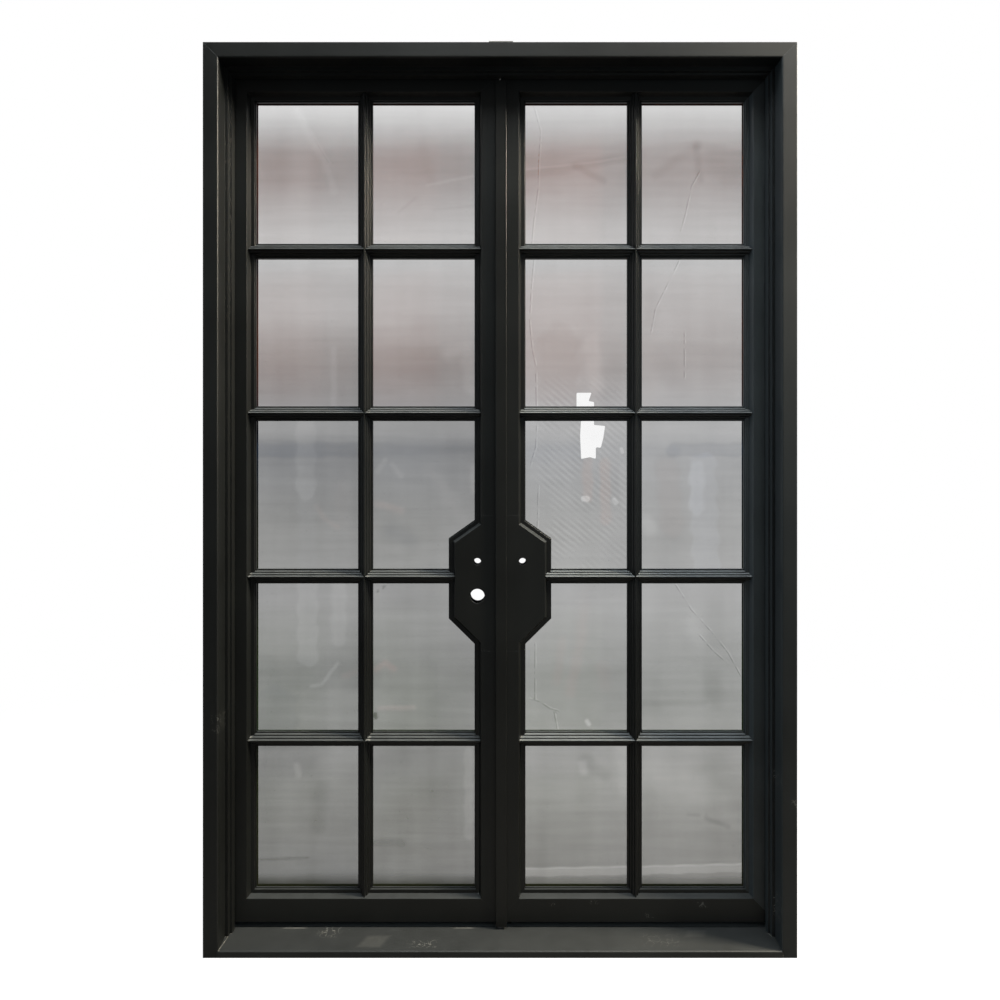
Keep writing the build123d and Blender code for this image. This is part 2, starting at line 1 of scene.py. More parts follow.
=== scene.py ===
import bmesh
import bpy
import math
import numpy as np
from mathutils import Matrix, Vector


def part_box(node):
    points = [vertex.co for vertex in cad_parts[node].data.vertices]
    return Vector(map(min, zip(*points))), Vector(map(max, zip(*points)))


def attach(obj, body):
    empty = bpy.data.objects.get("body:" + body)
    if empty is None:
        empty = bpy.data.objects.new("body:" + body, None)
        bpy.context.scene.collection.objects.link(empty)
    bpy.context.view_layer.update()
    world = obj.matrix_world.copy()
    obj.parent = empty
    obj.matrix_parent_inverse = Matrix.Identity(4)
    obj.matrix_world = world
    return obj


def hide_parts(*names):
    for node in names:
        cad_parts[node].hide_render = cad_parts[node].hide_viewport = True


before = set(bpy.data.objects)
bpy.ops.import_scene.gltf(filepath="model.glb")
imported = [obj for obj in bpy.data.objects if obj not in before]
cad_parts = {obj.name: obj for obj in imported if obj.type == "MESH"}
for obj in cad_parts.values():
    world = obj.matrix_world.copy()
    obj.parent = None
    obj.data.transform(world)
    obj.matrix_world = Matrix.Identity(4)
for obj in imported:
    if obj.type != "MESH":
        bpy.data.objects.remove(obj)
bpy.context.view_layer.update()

# Jambs and head: folded steel tubes, mitred, welded and ground flush at the top corners.
# They are powder coated satin black after welding: one skin with a fine orange peel, some dust on
# what faces up and a few knocks along the edges. On the right side the coat is painted lighter and
# bluer, with paler edges and faces turned to the left: painted light.
frame_black = (0.0052, 0.0060, 0.0057, 1)
bare_steel = (0.30, 0.29, 0.27, 1)
# The pale grey of scuffs and chips, also used where marks are painted light.
scuff_and_light_grey = (0.46, 0.46, 0.43, 1)
dust_grey = (0.188, 0.205, 0.214, 1)
painted_light_grey = (0.16, 0.20, 0.23, 1)
# A pair of values says where a mask starts and where it is full.
paint_edge_round = 0.0012
edge_samples = 6
edge_turn = (0.01, 0.2)
paint_peel_scale = 620
paint_peel_height = 0.00009
paint_peel_strength = 0.25
coat_cloud_scale = 4
coat_wipe_stretch = (27, 27, 2.4)
wipe_share = 0.15
coat_softening = 1.7
soft_patches = (0.3, 0.75)
dust_scale = 26
dust_slope = (0.2, 0.9)
even_dust = 0.45
speck_scale = 160
speck_cut = (0.55, 0.75)
speck_share = 0.012
chip_scale = 48
chip_cut = (0.62, 0.70)
chip_depth = 1.5
cloud_sheen = 0.14
wipe_sheen = 0.04
chip_sheen = 0.25
scuff_sheen = 0.2


class Shade:
    """A socket of one material's nodes, on which sums can be written."""

    def __init__(self, tree, socket=None):
        self.tree = tree
        self.socket = socket

    def node(self, kind, settings, sockets, output=0):
        """Adds a node, sets it up, joins its sockets and gives one of its outputs."""
        made = self.tree.nodes.new(kind)
        for name, value in settings.items():
            if name == "stops":
                ramp = made.color_ramp
                ramp.interpolation = "EASE"
                while len(ramp.elements) < len(value):
                    ramp.elements.new(1)
                for stop, (place, colour) in zip(ramp.elements, value):
                    stop.position = place
                    stop.color = colour
            else:
                setattr(made, name, value)
        for name, value in sockets.items():
            if isinstance(value, Shade):
                self.tree.links.new(value.socket, made.inputs[name])
            else:
                made.inputs[name].default_value = value
        return Shade(self.tree, made.outputs[output] if made.outputs else None)

    def sum(self, operation, first, second):
        return self.node("ShaderNodeMath", {"operation": operation}, {0: first, 1: second})

    def __add__(self, other):
        return self.sum("ADD", self, other)

    def __radd__(self, other):
        return self.sum("ADD", other, self)

    def __sub__(self, other):
        return self.sum("SUBTRACT", self, other)

    def __rsub__(self, other):
        return self.sum("SUBTRACT", other, self)

    def __mul__(self, other):
        return self.sum("MULTIPLY", self, other)

    def __rmul__(self, other):
        return self.sum("MULTIPLY", other, self)

    def __truediv__(self, other):
        return self.sum("DIVIDE", self, other)

    def __abs__(self):
        return self.sum("ABSOLUTE", self, 0)

    def larger(self, other):
        return self.sum("MAXIMUM", self, other)

    def sine(self):
        return self.sum("SINE", self, 0)

    def fade(self, low, high):
        """Runs smoothly from 0 at low to 1 at high."""
        sockets = {0: self, 1: low, 2: high}
        return self.node("ShaderNodeMapRange", {"interpolation_type": "SMOOTHSTEP"}, sockets)

    def part(self, axis):
        """One of the three numbers of a vector, by its letter."""
        return self.node("ShaderNodeSeparateXYZ", {}, {"Vector": self}, axis)

    def stretched(self, scale, turn=0):
        """The same place with each axis scaled, after a turn in the plane of the doors."""
        sockets = {"Vector": self, "Scale": scale, "Rotation": (0, turn, 0)}
        return self.node("ShaderNodeMapping", {}, sockets)

    def noise(self, scale, detail=3):
        """Cloudy noise around 0.5 at this place."""
        sockets = {"Vector": self, "Scale": scale, "Detail": detail}
        return self.node("ShaderNodeTexNoise", {}, sockets, "Fac")

    def colour(self, first, second):
        """A colour that runs from first to second as this value runs from 0 to 1."""
        sockets = {0: self, 6: first, 7: second}
        return self.node("ShaderNodeMix", {"data_type": "RGBA"}, sockets, 2)


def new_material(name):
    """An empty material, and the place on the surface in the frame's own metres."""
    material = bpy.data.materials.new(name)
    material.use_nodes = True
    material.node_tree.nodes.clear()
    place = Shade(material.node_tree).node("ShaderNodeTexCoord", {}, {}, "Object")
    return material, place


def cover(place, sockets):
    """Ends a material with one Principled surface."""
    surface = place.node("ShaderNodeBsdfPrincipled", {}, sockets)
    place.node("ShaderNodeOutputMaterial", {}, {"Surface": surface})


def paint(name, black, roughness, dust, wear, marks=None, edge_round=paint_edge_round, painted_light=None):
    """Satin powder coat; dust may depend on place. Marks adds scuffs and some painted light, the last
    argument pale painted light.
    """
    material, place = new_material(name)
    if callable(dust):
        dust = dust(place)
    normal = place.node("ShaderNodeNewGeometry", {}, {}, "Normal")
    rounded = place.node("ShaderNodeBevel", {"samples": edge_samples}, {"Radius": edge_round}, "Normal")
    facing = {0: normal, 1: rounded}
    turned = place.node("ShaderNodeVectorMath", {"operation": "DOT_PRODUCT"}, facing, "Value")
    edge = (1 - turned).fade(*edge_turn)
    cloud = place.noise(coat_cloud_scale, 5)
    wipe = place.stretched(coat_wipe_stretch).noise(1, 1)
    specks = place.noise(speck_scale, 2).fade(*speck_cut)
    uneven = even_dust + (1 - even_dust) * place.noise(dust_scale, 4)
    settled = rounded.part("Z").fade(*dust_slope) * uneven * dust
    lying = settled + dust * speck_share * wipe * specks
    chipped = edge * place.noise(chip_scale, 4).fade(*chip_cut) * wear
    soft = tuple(coat_softening * part for part in black[:3]) + (1,)
    coat = (cloud * (1 - wipe_share) + wipe * wipe_share).fade(*soft_patches).colour(black, soft)
    # Pale bluish painted light over the coat, on edges and on faces turned to the left.
    if painted_light:
        coat = painted_light(normal, edge).colour(coat, painted_light_grey)
    shown = chipped.colour(coat, bare_steel)
    sheen = roughness + cloud_sheen * (cloud - 0.5) + wipe_sheen * (wipe - 0.5) + chip_sheen * chipped
    # Marks lay a pale grey: scuffs and chips, and in places painted light.
    if marks:
        scuffed_and_lit = marks(place)
        shown = scuffed_and_lit.colour(shown, scuff_and_light_grey)
        sheen = sheen + scuff_sheen * scuffed_and_lit
        lying = lying * (1 - scuffed_and_lit)
    height = place.noise(paint_peel_scale, 2) - chip_depth * chipped
    peel = {"Strength": paint_peel_strength, "Distance": paint_peel_height, "Height": height}
    bumped = place.node("ShaderNodeBump", {}, {**peel, "Normal": rounded}, "Normal")
    gloss = {"Base Color": shown, "Roughness": sheen, "Normal": bumped, "Specular IOR Level": 0.5}
    powder = {"Base Color": dust_grey, "Roughness": 1.0, "Normal": bumped, "Specular IOR Level": 0.0}
    layers = [place.node("ShaderNodeBsdfPrincipled", {}, sockets) for sockets in (gloss, powder)]
    surface = place.node("ShaderNodeMixShader", {}, {0: lying, 1: layers[0], 2: layers[1]})
    place.node("ShaderNodeOutputMaterial", {}, {"Surface": surface})
    return material


def dress(material, *names):
    """Gives CAD nodes their finish."""
    for name in names:
        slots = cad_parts[name].data.materials
        slots.clear()
        slots.append(material)


curl_scale = 52
curl_width = (0.004, 0.020)
patch_rim = (0.5, 1.05)
rub_share = 0.015


def scratched(patches, up):
    """Marks made of patches of thin curly scratches, on faces along X and the axis called up."""

    def marks(place):
        curls = 1 - abs(place.noise(curl_scale, 2) - 0.5).fade(*curl_width)
        marked = place.part("X") * 0
        for across, high, half_length, half_width, strength in patches:
            side = abs(place.part("X") - across) / half_length
            end = abs(place.part(up) - high) / half_width
            marked = marked.larger((1 - side.larger(end).fade(*patch_rim)) * strength)
        return marked * (rub_share + (1 - rub_share) * curls)

    return marks


jamb_scratches = [
    # middle across, middle up, half length, half height, strength
    (0.745, 0.46, 0.003, 0.020, 0.5),
    (0.745, 0.12, 0.003, 0.040, 0.6),
    (0.780, 0.41, 0.010, 0.016, 0.25),
    (-0.755, 0.62, 0.012, 0.030, 0.12),
]
# A lighter, bluer copy of the frame's black, with paler edges and left-facing faces, is painted light.
lit_frame_black = (0.0076, 0.0092, 0.0097, 1)
edge_highlight = 0.4
left_face_light = 0.18
left_face_turn = (0.3, 0.9)
jamb_marks = scratched(jamb_scratches, "Z")
frame_coat = paint("frame_coat", frame_black, roughness=0.42, dust=0.30, wear=0.15, marks=jamb_marks)
dress(frame_coat, "jamb_left", "head")


def reveal_painted_light(normal, edge):
    """Painted highlight on the edges, and painted light on the faces turned to the left."""
    return (edge_highlight * edge).larger(left_face_light * (0 - normal.part("X")).fade(*left_face_turn))


lit_frame_coat = paint(
    "lit_frame_coat", lit_frame_black, roughness=0.42, dust=0.30, wear=0.15, marks=jamb_marks, painted_light=reveal_painted_light
)
dress(lit_frame_coat, "jamb_right")

# Head tab: a short strap of galvanised steel tacked on top of the head, left bare and dusty.
# It held the frame while it was carried and set.
tab_grey = (0.13, 0.13, 0.125, 1)
dress(paint("tab_zinc", tab_grey, roughness=0.55, dust=0.60, wear=0.9), "head_anchor_tab")

# Sill: a hollow folded tube between the jambs, coated with the frame. It is walked on, so its top is
# grey with dust, rubbed and scratched in places, and its nose is worn pale. Under the leaves, in their
# shade, it is paler: dust, and painted light that lifts the shade.
sill_black = (0.012, 0.0130, 0.0128, 1)
walked_dust = 0.17
# Under the leaves the sill is paler: dust, and painted light that lifts their shade.
under_leaf_dust_and_light = 1.3
dust_and_light_start = 0.004
dust_and_light_full = 0.012
rub_lean = 0.5
rub_scale = 60
rub_rim = (0.6, 1.1)
rub_least = 0.4
rub_swing = 0.9
sill_scratches = [
    # middle across, middle in depth, half length, half width, strength
    (-0.465, 0.008, 0.040, 0.032, 0.30),
    (-0.210, -0.046, 0.045, 0.018, 0.30),
    (0.230, 0.030, 0.020, 0.014, 0.26),
    (0.435, -0.030, 0.060, 0.030, 0.15),
]
sill_rubs_and_light = [
    (-0.340, -0.036, 0.036, 0.026, 0.08),
    # These two are painted light: pale strips where light comes in under the left leaf.
    (-0.566, 0.018, 0.036, 0.004, 0.20),
    (-0.100, 0.018, 0.030, 0.004, 0.18),
    (0.535, -0.005, 0.030, 0.016, 0.06),
]


def sill_marks(place):
    """Patches of scratches, patches rubbed all over, and two pale strips of painted light under the left
    leaf.
    """
    marked = scratched(sill_scratches, "Y")(place)
    for across, deep, half_length, half_width, strength in sill_rubs_and_light:
        side = abs(place.part("X") - across - rub_lean * (place.part("Y") - deep)) / half_length
        front = abs(place.part("Y") - deep) / half_width
        uneven = rub_least + rub_swing * place.noise(rub_scale, 4)
        marked = marked.larger((1 - side.larger(front).fade(*rub_rim)) * uneven * strength)
    return marked


def sill_dust_and_light(place):
    """Dust that feet keep thin in front of the leaves, and under them a thick pale layer of dust and painted
    light in their shade.
    """
    leaf_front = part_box("bottom_rail_left")[0].y
    return walked_dust + under_leaf_dust_and_light * place.part("Y").fade(leaf_front + dust_and_light_start, leaf_front + dust_and_light_full)


sill_coat = paint("sill_coat", sill_black, roughness=0.46, dust=sill_dust_and_light, wear=0.8, marks=sill_marks)
dress(sill_coat, "threshold")

# Joint filler: a thin, uneven run of grey filler where the sill's ends are fitted round the jambs'
# section. It was pressed in by hand and left unpainted.
filler_radius = 0.0011
filler_step = 0.003
filler_sides = 6
filler_swing = 0.35
filler_beats = (2.3, 0.7)
filler_lump_scale = 420
filler_relief = 0.0004
filler_dirt_scale = 90
joint_reach = 0.12
touching = 1e-5
faces_up = 0.8
faces_level = 0.3
faces_out = 0.05
filler_grey = (0.30, 0.29, 0.26, 1)
filler_dirt = (0.10, 0.10, 0.09, 1)


def sill_joint(side):
    """Points along one end of the sill's top, from the front to the back, read from its solid."""
    low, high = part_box("threshold")
    sill_end = high.x if side > 0 else -low.x
    solid = bmesh.new()
    solid.from_mesh(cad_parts["threshold"].data)
    bmesh.ops.remove_doubles(solid, verts=solid.verts, dist=touching)
    spots = set()
    for edge in solid.edges:
        tops = [face for face in edge.link_faces if face.normal.z > faces_up]
        level = [face for face in edge.link_faces if abs(face.normal.z) < faces_level]
        if tops and any(face.normal.x * side > faces_out for face in level):
            spots.update(tuple(round(part, 6) for part in corner.co) for corner in edge.verts)
    solid.free()
    close = [spot for spot in spots if spot[0] * side > sill_end - joint_reach]
    return sorted(close, key=lambda spot: spot[1])


def filler_run(name, points):
    """An uneven run along a line of points."""
    line = []
    for start, end in zip(points, points[1:]):
        start, end = Vector(start), Vector(end)
        steps = max(1, round((end - start).length / filler_step))
        line += [start.lerp(end, step / steps) for step in range(steps)]
    line.append(Vector(points[-1]))
    built = bmesh.new()
    rings = []
    for index, spot in enumerate(line):
        along = (line[min(index + 1, len(line) - 1)] - line[max(index - 1, 0)]).normalized()
        side = along.cross(Vector((0, 0, 1))).normalized()
        swing = math.sin(index * filler_beats[0]) * math.sin(index * filler_beats[1])
        thick = filler_radius * (1 - filler_swing + filler_swing * swing)
        rise = side.cross(along)
        angles = [2 * math.pi * turn / filler_sides for turn in range(filler_sides)]
        spokes = [math.cos(angle) * side + math.sin(angle) * rise for angle in angles]
        rings.append([built.verts.new(spot + thick * spoke) for spoke in spokes])
    for first, second in zip(rings, rings[1:]):
        for a, b, c, d in zip(first, first[1:] + first[:1], second[1:] + second[:1], second):
            built.faces.new((a, b, c, d)).smooth = True
    built.faces.new(rings[0])
    built.faces.new(rings[-1])
    bmesh.ops.recalc_face_normals(built, faces=built.faces)
    mesh = bpy.data.meshes.new(name)
    built.to_mesh(mesh)
    built.free()
    run = bpy.data.objects.new(name, mesh)
    bpy.context.scene.collection.objects.link(run)
    return run


filler, place = new_material("joint_filler")
lumps = place.noise(filler_lump_scale, 3)
relief = {"Strength": 0.5, "Distance": filler_relief, "Height": lumps}
cover(place, {
    "Base Color": place.noise(filler_dirt_scale, 4).fade(0.35, 0.65).colour(filler_grey, filler_dirt),
    "Roughness": 0.75 + 0.2 * lumps,
    "Normal": place.node("ShaderNodeBump", {}, relief, "Normal"),
})
for name, side in (("sill_filler_left", -1), ("sill_filler_right", 1)):
    run = filler_run(name, sill_joint(side))
    run.data.materials.append(filler)
    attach(run, "frame")

# Weather seals and sweeps: extruded black rubber, stuck to the back of the stops and of the cover strip
# and hung under the leaves. Matt, with fine lines along their length and a grey bloom. The sweeps' paler
# bloom is dust from the sill they brush over and painted light that lifts the shade under the leaves.
rubber_black = (0.012, 0.012, 0.0125, 1)
rubber_bloom = (0.055, 0.055, 0.058, 1)
# The sweeps' pale grey is dust and painted light in the shade under the leaves.
sweep_bloom_and_light = (0.20, 0.205, 0.20, 1)
rubber_roughness = 0.72
rubber_relief = 0.0004
bloom_scale = 18
bloom_cut = (0.25, 0.8)
bloom_share = 0.8
upright_lines = (900, 900, 2)
level_lines = (2, 900, 900)


def rubber(name, bloom_and_light_grey, drawn_along):
    """Matt rubber, with a bloom of this grey (on the sweeps partly painted light) and drawn lines that are
    long along the small scale.
    """
    material, place = new_material(name)
    bloom = place.noise(bloom_scale, 5).fade(*bloom_cut)
    drawn = place.stretched(drawn_along).noise(1, 2)
    relief = {"Strength": 0.3, "Distance": rubber_relief, "Height": drawn}
    cover(place, {
        "Base Color": (bloom * bloom_share).colour(rubber_black, bloom_and_light_grey),
        "Roughness": rubber_roughness + 0.15 * bloom,
        "Normal": place.node("ShaderNodeBump", {}, relief, "Normal"),
        "Specular IOR Level": 0.3,
    })
    return material


seals = rubber("seal_rubber", rubber_bloom, upright_lines)
dress(seals, "weatherseal_left", "weatherseal_right", "weatherseal_head", "astragal_seal")
dress(rubber("sweep_rubber", sweep_bloom_and_light, level_lines), "sweep_left", "sweep_right")

# Leaf stiles, rails and lock boxes: folded tubes with a stepped moulding on the glass side, mitred and
# welded into one frame for each leaf and coated like the box frame. The right hinge stile is painted
# lighter and bluer, with paler edges and left-facing faces: painted light.
leaf_black = (0.0050, 0.0058, 0.0055, 1)
rail_scratches = [
    # middle across, middle up, half length, half height, strength
    (0.260, 0.100, 0.014, 0.006, 0.25),
    (0.414, 0.064, 0.016, 0.008, 0.20),
    (0.558, 0.094, 0.016, 0.010, 0.25),
    (0.144, 0.094, 0.010, 0.005, 0.20),
]
leaf_marks = scratched(rail_scratches, "Z")
leaf_coat = paint("leaf_coat", leaf_black, roughness=0.40, dust=0.30, wear=0.15, marks=leaf_marks)
leaf_members = ["hinge_stile", "lock_stile_upper", "lock_stile_lower", "lock_box", "top_rail", "bottom_rail"]
for side in ("left", "right"):
    dress(leaf_coat, *[f"{member}_{side}" for member in leaf_members])
# A much lighter, bluer copy of the leaves' black, as painted light on the right hinge stile.
lit_leaf_black = (0.0256, 0.0306, 0.0327, 1)
lit_leaf_coat = paint(
    "lit_leaf_coat", lit_leaf_black, roughness=0.40, dust=0.30, wear=0.15, painted_light=reveal_painted_light
)
dress(lit_leaf_coat, "hinge_stile_right")

# Glazing bars: steel bars with a narrow nose and three treads on each side, coped and welded where
# they cross. The welds are filed, so the corners of the crossings show pale chips, which at the bars'
# left ends are also a painted highlight of the warm light on the mitres.
bar_black = (0.0052, 0.0060, 0.0057, 1)
bar_ends = [-0.695, -0.365, 0.058, 0.384]
bar_edge_round = 0.0025
# Pale chips at the filed welds, also painted as a highlight of the warm light at the bars' left ends.
chip_glint_reach = 0.009
chip_glint_rim = (0.35, 1)
chip_glint_slope = (0.2, 0.8)
chip_glint_cut = (0.40, 0.50)
chip_glint_scale = 130
chip_glint_strength = 0.55


def chips_and_glints(place):
    """Small pale marks where bars meet each other and the stiles: chips at the filed welds and a painted
    highlight.
    """
    near = place.part("X") * 0
    for end in bar_ends:
        near = near.larger(1 - (abs(place.part("X") - end) / chip_glint_reach).fade(*chip_glint_rim))
    upward = place.node("ShaderNodeNewGeometry", {}, {}, "Normal").part("Z").fade(*chip_glint_slope)
    return near * upward * place.noise(chip_glint_scale, 3).fade(*chip_glint_cut) * chip_glint_strength


def bar_dust_and_light(low, high):
    """Dust and painted light, running from low on the lowest bars to high on the highest, where the light
    falls stronger.
    """
    return lambda place: low + (high - low) * (place.part("Z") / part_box("head")[1].z)


upright_coat = paint("upright_coat", bar_black, roughness=0.36, dust=0.30, wear=0.1, marks=chips_and_glints)
dress(upright_coat, "muntin_upright_left", "muntin_upright_right")
# The bars' tops are paler higher up and on the right leaf: dust, and painted light from the overhead lights.
for side, dust in (("left", bar_dust_and_light(0.45, 1.25)), ("right", bar_dust_and_light(1.10, 2.10))):
    bar_coat = paint(
        f"bar_coat_{side}", bar_black, roughness=0.36, dust=dust, wear=0.15,
        marks=chips_and_glints, edge_round=bar_edge_round,
    )
    dress(bar_coat, f"crossbars_{side}")

# Glass units: two sheets on a spacer bar, sealed round the edge, with a hazy protective film left on
# the outer sheet. The film is smeared on the left leaf, and creased, blistered and torn on the right.
# How much it hides and its tint, which run with height, are painted light of the bright surroundings
# seen in the glass; its listed strokes are partly smears and partly painted light, with a few painted
# glints, and its creases carry a painted shade.
pane_rows = 5
spacer_width = 0.0055
spacer_setback = 0.0003
sheet_thickness = 0.004
rim_close = 1e-4
cut_merge = 1e-6
faces_front = 0.9
film_cell = {"left": 0.005, "right": 0.003}
film_top = 2.4
# How much the film hides, by height, is painted light: more of the bright surround shows where it hides less.
film_haze_and_light = {
    # height above the floor, and how much the film hides there
    "left": [
        (0.135, 0.93), (0.17, 0.80), (0.50, 0.767), (0.70, 0.728), (0.94, 0.66), (1.24, 0.717),
        (1.35, 0.746), (1.41, 0.66), (1.56, 0.723), (1.77, 0.525), (1.90, 0.43), (2.15, 0.676), (2.34, 0.226),
    ],
    "right": [
        (0.135, 0.88), (0.17, 0.785), (0.50, 0.69), (0.70, 0.665), (0.94, 0.575), (1.24, 0.612),
        (1.35, 0.575), (1.41, 0.53), (1.60, 0.605), (1.77, 0.525), (1.90, 0.43), (2.15, 0.66), (2.34, 0.27),
    ],
}
film_tints_of_light = [
    # height above the floor, and the painted colour of light in the film there
    (0.15, (0.028, 0.032, 0.010, 1)),
    (0.60, (0.032, 0.058, 0.010, 1)),
    (1.10, (0.020, 0.024, 0.010, 1)),
    (1.36, (0.010, 0.022, 0.043, 1)),
    (1.62, (0.118, 0.032, 0.010, 1)),
    (1.95, (0.073, 0.022, 0.010, 1)),
    (2.20, (0.152, 0.036, 0.010, 1)),
    (2.33, (0.140, 0.030, 0.010, 1)),
]
film_warm = (0.195, 0.055, 0.010, 1)
film_cool = (0.010, 0.060, 0.165, 1)
